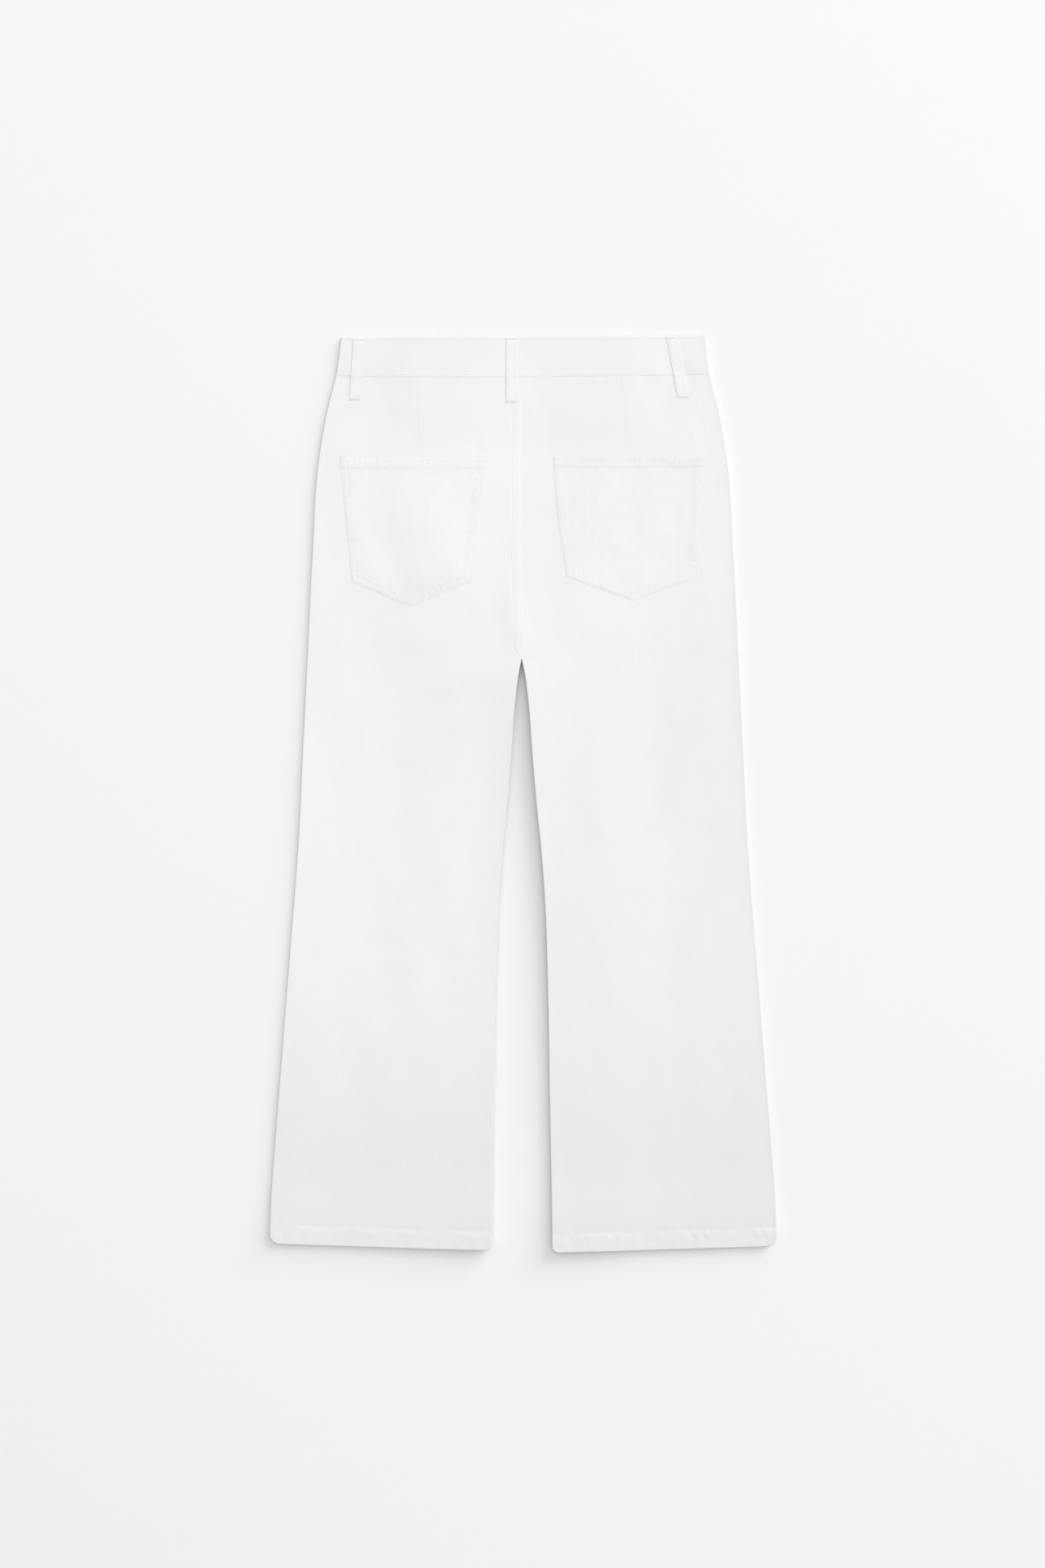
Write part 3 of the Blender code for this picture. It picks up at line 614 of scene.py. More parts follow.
class Nodes:
    """Short ways to add and join the nodes of one material."""

    def __init__(self, material: bpy.types.Material) -> None:
        """Takes a new material and keeps its shader."""
        material.use_nodes = True
        self.tree = material.node_tree
        self.shader = self.tree.nodes["Principled BSDF"]

    def set(self, values: dict[str, float]) -> None:
        """Sets some of the shader's inputs."""
        for name, value in values.items():
            self.shader.inputs[name].default_value = value

    def attribute(self, name: str) -> bpy.types.NodeSocket:
        """The value of one of the mesh's attributes."""
        return self.add("ShaderNodeAttribute", attribute_name=name).outputs["Fac"]

    def blended(
        self, first: bpy.types.NodeSocket, share: float, second: bpy.types.NodeSocket, other: float
    ) -> bpy.types.NodeSocket:
        """The sum of two sockets, each times the share that follows it."""
        first, second = self.maths("MULTIPLY", first, share), self.maths("MULTIPLY", second, other)
        return self.maths("ADD", first, second)

    def add(self, kind: str, **settings: object) -> bpy.types.Node:
        """A new node with some of its settings."""
        node = self.tree.nodes.new(kind)
        for name, value in settings.items():
            setattr(node, name, value)
        return node

    def link(self, source: bpy.types.NodeSocket, target: bpy.types.NodeSocket) -> None:
        """Joins two sockets."""
        self.tree.links.new(source, target)

    def maths(self, kind: str, first: bpy.types.NodeSocket, second: object) -> bpy.types.NodeSocket:
        """One operation on a socket and another socket or a number."""
        node = self.add("ShaderNodeMath", operation=kind)
        self.link(first, node.inputs[0])
        if isinstance(second, float):
            node.inputs[1].default_value = second
        else:
            self.link(second, node.inputs[1])
        return node.outputs[0]

    def scaled(self, source: bpy.types.NodeSocket, scale: tuple[float, ...]) -> bpy.types.NodeSocket:
        """The pattern's place, scaled."""
        node = self.add("ShaderNodeMapping")
        node.inputs["Scale"].default_value = scale
        self.link(source, node.inputs["Vector"])
        return node.outputs["Vector"]

    def turned(self, source: bpy.types.NodeSocket, degrees: float) -> bpy.types.NodeSocket:
        """The pattern's place, turned about Z."""
        node = self.add("ShaderNodeMapping")
        node.inputs["Rotation"].default_value = (0, 0, math.radians(degrees))
        self.link(source, node.inputs["Vector"])
        return node.outputs["Vector"]

    def noise(self, source: bpy.types.NodeSocket, detail: float) -> bpy.types.NodeSocket:
        """Soft noise with features of about one unit."""
        node = self.add("ShaderNodeTexNoise")
        node.inputs["Scale"].default_value = 1.0
        node.inputs["Detail"].default_value = detail
        self.link(source, node.inputs["Vector"])
        return node.outputs["Fac"]

    def bands(self, source: bpy.types.NodeSocket, pitch: float, wander: float) -> bpy.types.NodeSocket:
        """Sine bands across X, a pitch apart, that wander a little. At scale 1 they lie pi / 10 apart."""
        node = self.add("ShaderNodeTexWave", wave_type="BANDS", bands_direction="X")
        node.inputs["Scale"].default_value = math.pi / 10 / pitch
        node.inputs["Distortion"].default_value = wander
        node.inputs["Detail"].default_value = 1.0
        node.inputs["Detail Scale"].default_value = 0.6
        self.link(source, node.inputs["Vector"])
        return node.outputs["Fac"]

    def mixed(self, share: bpy.types.NodeSocket, low: object, high: object) -> bpy.types.NodeSocket:
        """A colour between two, which are sockets or plain colours."""
        node = self.add("ShaderNodeMix", data_type="RGBA")
        self.link(share, node.inputs["Factor"])
        for name, value in (("A", low), ("B", high)):
            socket = [s for s in node.inputs if s.name == name and s.type == "RGBA"][0]
            if isinstance(value, tuple):
                socket.default_value = (*value, 1.0)
            else:
                self.link(value, socket)
        return [s for s in node.outputs if s.type == "RGBA"][0]

    def bump(
        self, height: bpy.types.NodeSocket, distance: float, strength: float, under: object = None
    ) -> bpy.types.NodeSocket:
        """A bump of some depth over another one."""
        node = self.add("ShaderNodeBump")
        node.inputs["Distance"].default_value = distance
        node.inputs["Strength"].default_value = strength
        self.link(height, node.inputs["Height"])
        if under is not None:
            self.link(under, node.inputs["Normal"])
        return node.outputs["Normal"]


@dataclass
class Cloth:
    """What one shell is made from: grids of points, their place on the cloth, and their attributes."""

    outer: Array
    inner: Array
    uv: Array
    tone: Array
    seam: Array

    def shell(self, name: str, material: bpy.types.Material) -> bpy.types.Object:
        """Makes the closed shell.

        Quads on the outer grid, the same ones turned over on the inner grid, and a rim of quads between
        their borders. If the volume comes out negative every face is turned round.

        Args:
            name: The object's name.
            material: Its cloth.

        Returns:
            The object, not yet riding on anything.
        """
        rows, columns = self.outer.shape[:2]
        index = np.arange(rows * columns).reshape(rows, columns)
        quads = np.stack([index[:-1, :-1], index[:-1, 1:], index[1:, 1:], index[1:, :-1]], axis=-1)
        quads = quads.reshape(-1, 4)
        border = np.concatenate([index[0, :-1], index[:-1, -1], index[-1, :0:-1], index[:0:-1, 0]])
        after = np.roll(border, -1)
        below = rows * columns
        rim = np.stack([border, border + below, after + below, after], axis=-1)
        faces = np.concatenate([quads, quads[:, ::-1] + below, rim])
        points = np.concatenate([self.outer.reshape(-1, 3), self.inner.reshape(-1, 3)])
        if enclosed(points, faces) < 0:
            faces = faces[:, ::-1]
        uv = np.tile(self.uv.reshape(-1, 2), (2, 1))
        made = mesh_object(name, points, faces, uv, material)
        for label, values in (("tone", self.tone), ("seam", self.seam)):
            attribute = made.data.attributes.new(label, "FLOAT", "POINT")
            attribute.data.foreach_set("value", np.tile(values.reshape(-1), 2).astype(np.float32))
        return made


def enclosed(points: Array, faces: Array) -> float:
    """The volume inside quads that face out: a sixth of the sum of a.(b x c) over their triangles."""
    a, b, c, d = (points[faces[:, i]] for i in range(4))
    first = np.einsum("ij,ij->i", a, np.cross(b, c))
    second = np.einsum("ij,ij->i", a, np.cross(c, d))
    return float((first + second).sum() / 6.0)


def mesh_object(
    name: str, points: Array, faces: Array, uv: Array, material: bpy.types.Material
) -> bpy.types.Object:
    """Puts quads into a new object.

    Args:
        name: The object's and the mesh's name.
        points: One row of x, y and z for each point.
        faces: One row of four point numbers for each quad.
        uv: One row for each point, its place on the cloth in metres.
        material: Its finish.

    Returns:
        The object, in the scene.
    """
    mesh = bpy.data.meshes.new(name)
    mesh.vertices.add(len(points))
    mesh.vertices.foreach_set("co", points.astype(np.float32).ravel())
    mesh.loops.add(faces.size)
    mesh.loops.foreach_set("vertex_index", faces.astype(np.int32).ravel())
    mesh.polygons.add(len(faces))
    mesh.polygons.foreach_set("loop_start", np.arange(0, faces.size, 4, dtype=np.int32))
    mesh.update(calc_edges=True)
    layer = mesh.uv_layers.new(name="Cloth")
    layer.data.foreach_set("uv", uv[faces.ravel()].astype(np.float32).ravel())
    mesh.polygons.foreach_set("use_smooth", np.ones(len(faces), dtype=bool))
    mesh.materials.append(material)
    made = bpy.data.objects.new(name, mesh)
    bpy.context.scene.collection.objects.link(made)
    return made


@dataclass(frozen=True)
class Layer:
    """What differs between a leg's two layers.

    The back's folds are tight, and the front's curve away under them. Square is the power that shapes a
    fold's section: 1 gives an ellipse, and less a tighter corner. Turns, columns and rows say how fine
    the grid is, shares where the finer columns beside the folds end, and shades how much painted shade
    darkens each leg's left and right folds.
    """

    fold: float
    square: float
    turns: int
    shares: tuple[float, float]
    columns: tuple[int, int, int]
    rows: tuple[int, int]
    shades: dict[Side, tuple[float, float]]


# each leg's shades are painted shade on its left and right folds
LAYERS = {
    Face.BACK: Layer(
        0.0003, 0.6, 10, (0.075, 0.955), (17, 106, 9), (200, 30),
        {Side.LEFT: (0.045, 0.02), Side.RIGHT: (0.045, 0.10)},
    ),
    Face.FRONT: Layer(
        0.0024, 1.0, 7, (0.06, 0.95), (5, 40, 3), (110, 16),
        {Side.LEFT: (0.0, 0.28), Side.RIGHT: (0.0, 0.28)},
    ),
}  # fmt: skip


@dataclass(frozen=True)
class Dart:
    """A leg's dart: how far across the leg it lies, its x at the waistband, and how far it leans."""

    share: float
    x: float
    lean: float
    top: float = 0.042
    length: float = 0.078
    tail: float = 0.010
    groove: Bell = Bell(0.0, 0.0007, -0.00008)
    ridge: Bell = Bell(0.0045, 0.0040, 0.00010)
    pull_ends: Stretch = Stretch(0.115, 0.10)
    pull_width: float = 0.16
    columns: tuple[float, ...] = (-0.0065, -0.0042, -0.0026, -0.0013, 0.0, 0.0013, 0.0026, 0.0042, 0.0065)
    clear: float = 0.009

    def at(self, down: Array) -> Array:
        """The x of its line."""
        return self.x + self.lean * (down - self.top) / self.length

    def relief(self, x: Array, down: Array) -> Array:
        """A narrow groove along its line and a low ridge beside it, which fade out at its end."""
        shown = ease((self.top + self.length - down) / self.tail)
        beside = x - self.at(down)
        return shown * (self.groove.height(beside) + self.ridge.height(beside))

    def pull(self, share: Array, down: Array) -> Array:
        """How far the columns are pulled to its line: a bell across the leg, which ends below it."""
        return self.pull_ends.before(down) * hill((share - self.share) / self.pull_width)


DARTS = {Side.LEFT: Dart(0.515, -0.1119, 0.0034), Side.RIGHT: Dart(0.540, 0.1006, 0.0078)}


@dataclass(frozen=True)
class SeatSeam:
    """The felled seam between the back legs, by the distance from its line."""

    begins: Stretch = Stretch(0.060, 0.012)
    ends: Stretch = Stretch(0.292, 0.044)
    meets: Stretch = Stretch(0.095, 0.030)
    climbs: Stretch = Stretch(0.235, 0.060)
    deepens: Stretch = Stretch(0.190, 0.070)
    shallow: float = 0.2
    left_meet: Bell = Bell(0.0, 0.0140, 0.00035)
    left_climb: Bell = Bell(0.0, 0.0135, 0.0015)
    left_line: Bell = Bell(0.0, 0.0009, 0.00020)
    right_climb: Bell = Bell(0.0, 0.0190, 0.0010)
    ridge: Stretch = Stretch(0.0055, 0.0050)
    ridge_rise: float = 0.00025
    ridge_uneven: Uneven = Uneven(0.00006, 0.007, 5)
    rows: tuple[float, float] = (0.0020, 0.0072)
    row_width: float = 0.0009
    row_depth: float = 0.00010
    sewn: tuple[float, float] = (0.073, 0.324)

    def relief(self, side: Side, away: Array, down: Array) -> Array:
        """Height over the level cloth.

        The wearer's right is a low felled ridge with two sewn grooves, and under the waistband the left
        climbs in a bell to meet it. Below the pockets both sides climb to the seam in wider bells, and
        the grooves grow deeper.

        Args:
            side: The leg.
            away: Distances from the seam's line into that leg.
            down: Distances below the waist.

        Returns:
            Heights.
        """
        shown = self.begins.past(down) * self.ends.before(down)
        lower = self.climbs.past(down)
        sunk = self.shallow + (1.0 - self.shallow) * self.deepens.past(down)
        if side is Side.LEFT:
            meet = self.meets.before(down) * self.left_meet.height(away)
            climb = lower * self.left_climb.height(away)
            return shown * (meet + climb - sunk * self.left_line.height(away))
        ridge = self.ridge.before(away)
        felled = ridge * (self.ridge_rise + self.ridge_uneven.height(0.0 * away, down))
        rows = sum(hill((away - row) / self.row_width) for row in self.rows)
        return shown * (felled - self.row_depth * sunk * rows + lower * self.right_climb.height(away))


@dataclass(frozen=True)
class TurnedHem:
    """A leg's turned hem, by the distance below its stitching."""

    firm: Strength = Strength(0.65, (0.1, 1.3), Uneven(0.45, 0.055, 15))
    groove: Bell = Bell(0.0006, 0.0011, -0.00024)
    band: Stretch = Stretch(0.0006, 0.0060)
    band_rise: float = 0.00030
    puckers: Puckers = Puckers(0.00010, 0.0092, -0.55, (Bell(0.0060, 0.0065), Bell(-0.003, 0.004, 0.35)))
    wander: Uneven = Uneven(0.35, 0.045, 3)
    vary: Strength = Strength(0.55, (0.0, 1.6), Uneven(0.75, 0.040, 8, 0.6))
    blotched: Stretch = Stretch(0.0, 0.003)
    blotches: Uneven = Uneven(0.00012, 0.013, 31)

    def relief(self, along: Array, below: Array, number: int) -> Array:
        """Height over the level cloth.

        A groove along the stitching, a thicker band below it, and slanting puckers across both. Each is
        stronger or weaker from place to place, and the band has low blotches.

        Args:
            along: Distances along the hem.
            below: Distances below its stitching.
            number: Picks the leg's own unevenness.

        Returns:
            Heights.
        """
        level = 0.0 * along
        rise = self.groove.height(below) + self.band_rise * self.band.past(below)
        rise = rise * self.firm.at(along, level, number)
        puckers = self.puckers.height(along, below, self.wander.height(along, level, number))
        rise = rise + puckers * self.vary.at(along, below, number)
        return rise + self.blotched.past(below) * self.blotches.height(along, below, number)


@dataclass
class Leg:
    """One leg's back or front: a shell from under the waistband to the rounded hem."""

    side: Side
    face: Face
    lay: Lay
    wall: float = 0.0011
    flat: tuple[float, float] = (0.262, 0.913)
    area: float = 0.2105
    level_width: float = 0.215
    inner_corner: float = 0.007
    outer_corner: float = 0.011
    body_length: float = 0.89
    body_rows_from: float = 0.0075
    tuck_rows: tuple[float, ...] = (0.0, 0.0010, 0.0016, 0.0018, 0.0020, 0.0022, 0.0024, 0.0028, 0.0045)
    under_band: float = 0.0020
    tuck: float = 0.0008
    tuck_ends: Stretch = Stretch(-0.0004, 0.0005)
    hem_crowding: float = 1.35
    hem_roll: float = 0.0007
    hem_wall: float = 0.0009
    hem_wall_grows: Stretch = Stretch(0.0, 0.15)
    front_clear: float = 0.0002
    waves: Uneven = Uneven(0.00018, 0.060, 11, 0.45)
    waves_from: Stretch = Stretch(0.040, 0.025)
    ripples: Uneven = Uneven(0.00003, 0.016, 21, 0.6)
    seat: SeatSeam = SeatSeam()
    turned_hem: TurnedHem = TurnedHem()
    fold_shade_width: float = 0.0014
    hem_paler: float = 0.014
    hem_pales: Stretch = Stretch(0.0, 0.12)
    hem_edge_shade: Fade = Fade(0.030, 0.0015)
    gathers: Fade = Fade(0.35, 0.006)

    @property
    def name(self) -> str:
        """The node's name that the shell stands for."""
        return f"{self.face.value}_{self.side.name.lower()}"

    @property
    def layer(self) -> Layer:
        """What is particular to its layer."""
        return LAYERS[self.face]

    @property
    def dart(self) -> Dart:
        """The dart on its side."""
        return DARTS[self.side]

    def steps(self) -> tuple[Array, Array, Array]:
        """The columns, close to each other beside both folds and, on the back, along the dart.

        Returns:
            Their angles round the inner fold, shares of the level cloth and angles round the side fold.
        """
        layer, dart = self.layer, self.dart
        ends = (0.0, *layer.shares, 1.0)
        parts = [np.linspace(ends[i], ends[i + 1], layer.columns[i])[1:] for i in range(3)]
        level = np.concatenate(parts)[:-1]
        if self.face is Face.BACK:
            level = level[np.abs(level - dart.share) > dart.clear]
            level = np.sort(np.concatenate([level, dart.share + np.array(dart.columns)]))
        turn = np.linspace(0.0, math.pi / 2, layer.turns)
        full, upright = np.full(len(level), math.pi / 2), np.full(layer.turns, math.pi / 2)
        inner = np.concatenate([turn, full, upright])
        share = np.concatenate([np.zeros(layer.turns), level, np.ones(layer.turns)])
        return inner, share, np.concatenate([upright, full, turn[::-1]])

    def rows(self, share: Array, from_edge: Array) -> tuple[Array, Array]:
        """Each point's distance down, and its share of the hem's height.

        The first rows lie close to each other where the cloth is tucked under the band, and the body's
        lie evenly from there to the fold line of the hem. The hem's go on to its edge, which rises round
        a quarter circle at the inseam's corner and a wider one at the side seam's.

        Args:
            share: How far across the leg each column lies.
            from_edge: Each column's distance from the nearer fold.

        Returns:
            Two grids.
        """
        lay = self.lay
        top = lay.waist_seam(self.side.value * lay.waist_half * share) - self.under_band
        line = lay.hem_edge(share, self.side) - lay.hem_band
        count, hem_count = self.layer.rows
        tucked = np.array(self.tuck_rows) / self.body_length
        body = np.concatenate([tucked, np.linspace(self.body_rows_from, 1.0, count)])
        line_rows = top + (line - top) * body[:, None]
        radius = np.where(share > 0.5, self.outer_corner, self.inner_corner)
        corner = radius * round_over(from_edge / radius)
        shares = 1.0 - (1.0 - np.linspace(0.0, 1.0, hem_count)[1:]) ** self.hem_crowding
        hem_rows = line + (lay.hem_band - corner) * shares[:, None]
        down = np.concatenate([line_rows, hem_rows])
        hem = np.concatenate([np.zeros(len(body)), shares])[:, None] + 0.0 * down
        return down, hem

    def share(self, x: Array, down: Array) -> Array:
        """How far across the leg each point lies, from 0 at the inseam to 1 at the side seam."""
        inner = self.side.value * self.lay.centre_line(down, self.face) + self.lay.half_gap(down)
        return np.clip((self.side.value * x - inner) / (self.lay.side_edge(down) - inner), 0.0, 1.0)

    def from_hem_line(self, x: Array, down: Array) -> Array:
        """How far below the hem's stitching each point lies, and less than nothing above it."""
        return down - (self.lay.hem_edge(self.share(x, down), self.side) - self.lay.hem_band)

    def relief(self, x: Array, down: Array) -> Array:
        """What stands out of the leg's face.

        Low waves and ripples, the turned hem, and on the back the dart and the seat seam.

        Args:
            x: Distances across.
            down: Distances below the waist.

        Returns:
            Heights over the level cloth.
        """
        number = self.side.value
        rise = self.waves.height(x, down, number) * self.waves_from.past(down)
        rise = rise + self.ripples.height(x, down, number)
        if self.face is Face.BACK:
            from_seat = number * (x - self.lay.centre_line(down, Face.BACK))
            rise = rise + self.dart.relief(x, down) + self.seat.relief(self.side, from_seat, down)
        return rise + self.turned_hem.relief(x * number, self.from_hem_line(x, down), number)

    def section(self, columns: tuple[Array, Array, Array], down: Array, hem: Array, wall: float) -> Array:
        """One of the shell's two grids.

        Round a fold the section is a squared quarter of an ellipse: at an angle from the seam it lies
        fold * (1 - cos) inside the edge, and a power of sin of the way from the seam's height to the
        level cloth's. The inner grid is the same section drawn in by the wall, and both close on each
        other round the hem's edge. Beside the dart the columns bend to follow its line. The front is
        lifted by its soft creases, and its relief faces down, no deeper than its clearance.

        Args:
            columns: The angles and shares that steps gives.
            down: Distances below the waist.
            hem: Shares of the hem's height.
            wall: How far the grid is drawn in, 0 for the outer one.

        Returns:
            The grid's points.
        """
        lay, layer, sign = self.lay, self.layer, self.side.value
        inner_turn, share, outer_turn = columns
        turned = lay.leg_turn(down)
        inner = sign * lay.centre_line(down, self.face) + lay.half_gap(down)
        inner = inner + lay.seam_gap / 2 * (turned if self.face is Face.BACK else 1.0)
        width = lay.side_edge(down) - inner - 2 * layer.fold
        reach = inner + self.drawn(inner_turn, wall * turned) + width * share
        reach = reach + layer.fold - self.drawn(outer_turn, wall)
        if self.face is Face.BACK:
            off = sign * self.dart.at(down) - (inner + layer.fold + width * self.dart.share)
            reach = reach + off * self.dart.pull(share, down)
        x = sign * reach
        inner_fall, outer_fall = (1 - np.sin(turn) ** layer.square for turn in (inner_turn, outer_turn))
        to_seam = inner_fall * turned + outer_fall
        rest = lay.underside(x, down)
        roll = self.hem_roll * round_over((1.0 - hem) * lay.hem_band / self.hem_roll) * (hem > 0)
        inward = wall + self.hem_wall * self.hem_wall_grows.past(hem) - roll if wall else roll
        if self.face is Face.BACK:
            tuck = self.tuck * self.tuck_ends.before(down - lay.waist_seam(sign * lay.waist_half * share))
            level = lay.back_height(x, down) + self.relief(x, down) - tuck - inward
            seam = rest + lay.seam_up + lay.seam_gap / 2
        else:
            lift = sum(crease.height(x, down) for crease in lay.lifts)
            relief = np.minimum(self.relief(x, down), self.front_clear)
            level = rest + lift + self.front_clear - relief + inward
            seam = rest + lay.seam_up - lay.seam_gap / 2
        return lay.place(x, down, level * (1 - to_seam) + seam * to_seam)

    def cloth(self) -> Cloth:
        """The shell's grids and attributes.

        The tone carries painted shade, darker along each fold by its own shade and along the hem's edge,
        and is paler over the hem. The seam's puckers fade away from the folds.

        Returns:
            What the shell is made from.
        """
        lay, fold = self.lay, self.layer.fold
        columns = self.steps()
        inner_turn, share, outer_turn = columns
        from_edge = np.minimum(
            fold * (1 - np.cos(inner_turn)) + self.level_width * share,
            fold * (1 - np.cos(outer_turn)) + self.level_width * (1 - share),
        )
        down, hem = self.rows(share, from_edge)
        across = lay.half_gap(down) + self.level_width * share + fold * np.sin(outer_turn)
        formed = np.where(share < 0.5, lay.leg_turn(down), 1.0)
        # painted shade along the folds, by the leg's left and right shades
        left_shade, right_shade = self.layer.shades[self.side]
        shade = np.where(self.side.value * (share - 0.5) > 0, right_shade, left_shade)
        tone = lay.tone(self.side.value * across, down) + self.hem_paler * self.hem_pales.past(hem)
        tone = tone - shade * formed * np.exp(-from_edge / self.fold_shade_width)
        # painted shade along the hem's edge
        tone = tone - self.hem_edge_shade.left((1.0 - hem) * lay.hem_band) * (hem > 0)
        seam = formed * self.gathers.left(from_edge)
        uv = np.stack([across, down], axis=-1)
        outer, inner = (self.section(columns, down, hem, wall) for wall in (0.0, self.wall))
        return Cloth(outer, inner, uv, tone, seam)

    def drawn(self, turn: Array, wall: Array) -> Array:
        """How far inside its edge a fold's face lies, at an angle from the seam."""
        return wall + (self.layer.fold - wall) * (1.0 - np.cos(turn))

    def surface(self, x: Array, down: Array) -> Array:
        """Height of the back's dressed face."""
        return self.lay.back_height(x, down) + self.relief(x, down)

    def build(self, denim: bpy.types.Material) -> bpy.types.Object:
        """Makes the shell and puts it in its solid's place."""
        made = self.cloth().shell(f"denim_{self.name}", denim)
        rests = [] if self.face is Face.FRONT else [f"denim_front_{self.side.name.lower()}"]
        return dressed(made, self.name, rests)


def dressed(
    made: bpy.types.Object, node: str, rests: list[str]
) -> bpy.types.Object:
    """Attaches a piece of cloth to the root and hides the solid that it stands for.

    Args:
        made: The piece.
        node: The solid that it stands for, which it hides.
        rests: The pieces or nodes that it lies on; not used.

    Returns:
        The piece.
    """
    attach(made, "root")
    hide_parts(node)
    return made


@dataclass
class WaistbandBack:
    """The back's waistband, folded along its top, from side seam to side seam."""

    lay: Lay
    wall: float = 0.0011
    flat: tuple[float, float] = (0.042, 0.390)
    area: float = 0.0159
    fold: float = 0.0005
    square: float = 0.6
    proud: float = 0.00020
    roll: float = 0.00045
    foot_fall: float = 0.00009
    foot_width: float = 0.0010
    rows_in: tuple[float, float] = (0.0032, 0.0028)
    row_width: float = 0.0008
    row_depth: float = 0.00003
    uneven: Uneven = Uneven(0.00010, 0.050, 41)
    uneven_from: Stretch = Stretch(0.0, 0.010)
    puckers: Puckers = Puckers(0.00003, 0.0057, 0.0, (Bell(0.005, 0.004),))
    wander: Uneven = Uneven(1.0 / math.pi, 0.06, 42)
    inner_top: float = 0.0002
    inner_top_width: float = 0.0011
    inner_foot: float = 0.00075
    inner_foot_ends: Stretch = Stretch(0.0, 0.0010)
    end_shade: Fade = Fade(0.100, 0.0014)
    top_shade: Fade = Fade(0.050, 0.0009)
    gathers: Fade = Fade(0.30, 0.005)
    turns: int = 9
    columns: int = 203
    rows: int = 44
    crowding: float = 0.5
    name: str = "waistband_back"

    def relief(self, x: Array, down: Array) -> Array:
        """Height over the leg's level cloth.

        The band's own thickness, less a quarter circle at its top and foot, grooves along its two
        rows of stitches, slight unevenness, and puckers beside both rows.

        Args:
            x: Distances across.
            down: Distances below the waist.

        Returns:
            Heights.
        """
        from_top = down - self.lay.waist_top(x)
        from_foot = self.lay.waist_seam(x) - down
        rise = self.proud - self.roll * round_over(from_top / self.roll)
        rise = rise - self.foot_fall * round_over(from_foot / self.foot_width)
        for row, away in zip(self.rows_in, (from_top, from_foot)):
            rise = rise - self.row_depth * hill((away - row) / self.row_width)
        rise = rise + self.uneven.height(x, down) * self.uneven_from.past(from_foot)
        wander = self.wander.height(x, 0 * x)
        return rise + self.puckers.height(x, from_foot, wander) + self.puckers.height(x, from_top, wander)

    def surface(self, x: Array, down: Array) -> Array:
        """Height of the band's dressed face."""
        return self.lay.back_height(x, down) + self.relief(x, down)

    def build(self, denim: bpy.types.Material) -> bpy.types.Object:
        """Makes the shell: the section of a leg's fold at both ends, and level cloth between.

        Its tone carries painted shade, darker at the end on the right and along the top.

        Args:
            denim: Its cloth.

        Returns:
            The piece.
        """
        lay = self.lay
        turn = np.linspace(0.0, math.pi / 2, self.turns)
        level = np.linspace(-1.0, 1.0, self.columns + 2)[1:-1]
        angle = np.concatenate([turn, np.full(len(level), math.pi / 2), turn[::-1]])
        share = np.concatenate([np.full(self.turns, -1.0), level, np.full(self.turns, 1.0)])
        guide = lay.waist_half * share
        top, foot = lay.waist_top(guide), lay.waist_seam(guide)
        down = top + (foot - top) * rimmed(crowded(self.rows, self.crowding))[:, None]
        end = np.sign(guide) * (np.abs(share) == 1.0)
        full = np.sin(angle) ** self.square

        def section(wall: float) -> Array:
            """One grid, drawn in by a wall."""
            drawn = wall + (self.fold - wall) * (1 - np.cos(angle))
            edge = lay.side_edge(down)
            x = np.where(end == 0, (edge - self.fold) * share, end * (edge - drawn))
            if wall:
                from_top, from_foot = down - lay.waist_top(x), lay.waist_seam(x) - down
                rise = self.proud - self.wall + self.inner_top * round_over(from_top / self.inner_top_width)
                rise = rise + self.inner_foot * self.inner_foot_ends.before(from_foot)
            else:
                rise = self.relief(x, down)
            seam = lay.underside(x, down) + lay.seam_up + lay.seam_gap / 2
            return lay.place(x, down, (lay.back_height(x, down) + rise) * full + seam * (1 - full))

        ends = self.fold * (1 - np.cos(angle)) + lay.waist_half * (1 - np.abs(share))
        # painted shade at the end on the right and along the top
        tone = lay.tone(guide, down) - (share > 0) * self.end_shade.left(ends)
        tone = tone - self.top_shade.left(down - top)
        seam = self.gathers.left(np.minimum(down - top, foot - down))
        uv = np.stack([down, lay.waist_half * share + 0.0 * down], axis=-1)
        made = Cloth(section(0.0), section(self.wall), uv, tone, seam).shell(f"denim_{self.name}", denim)
        rests = [f"denim_back_{side.name.lower()}" for side in Side]
        return dressed(made, self.name, rests)


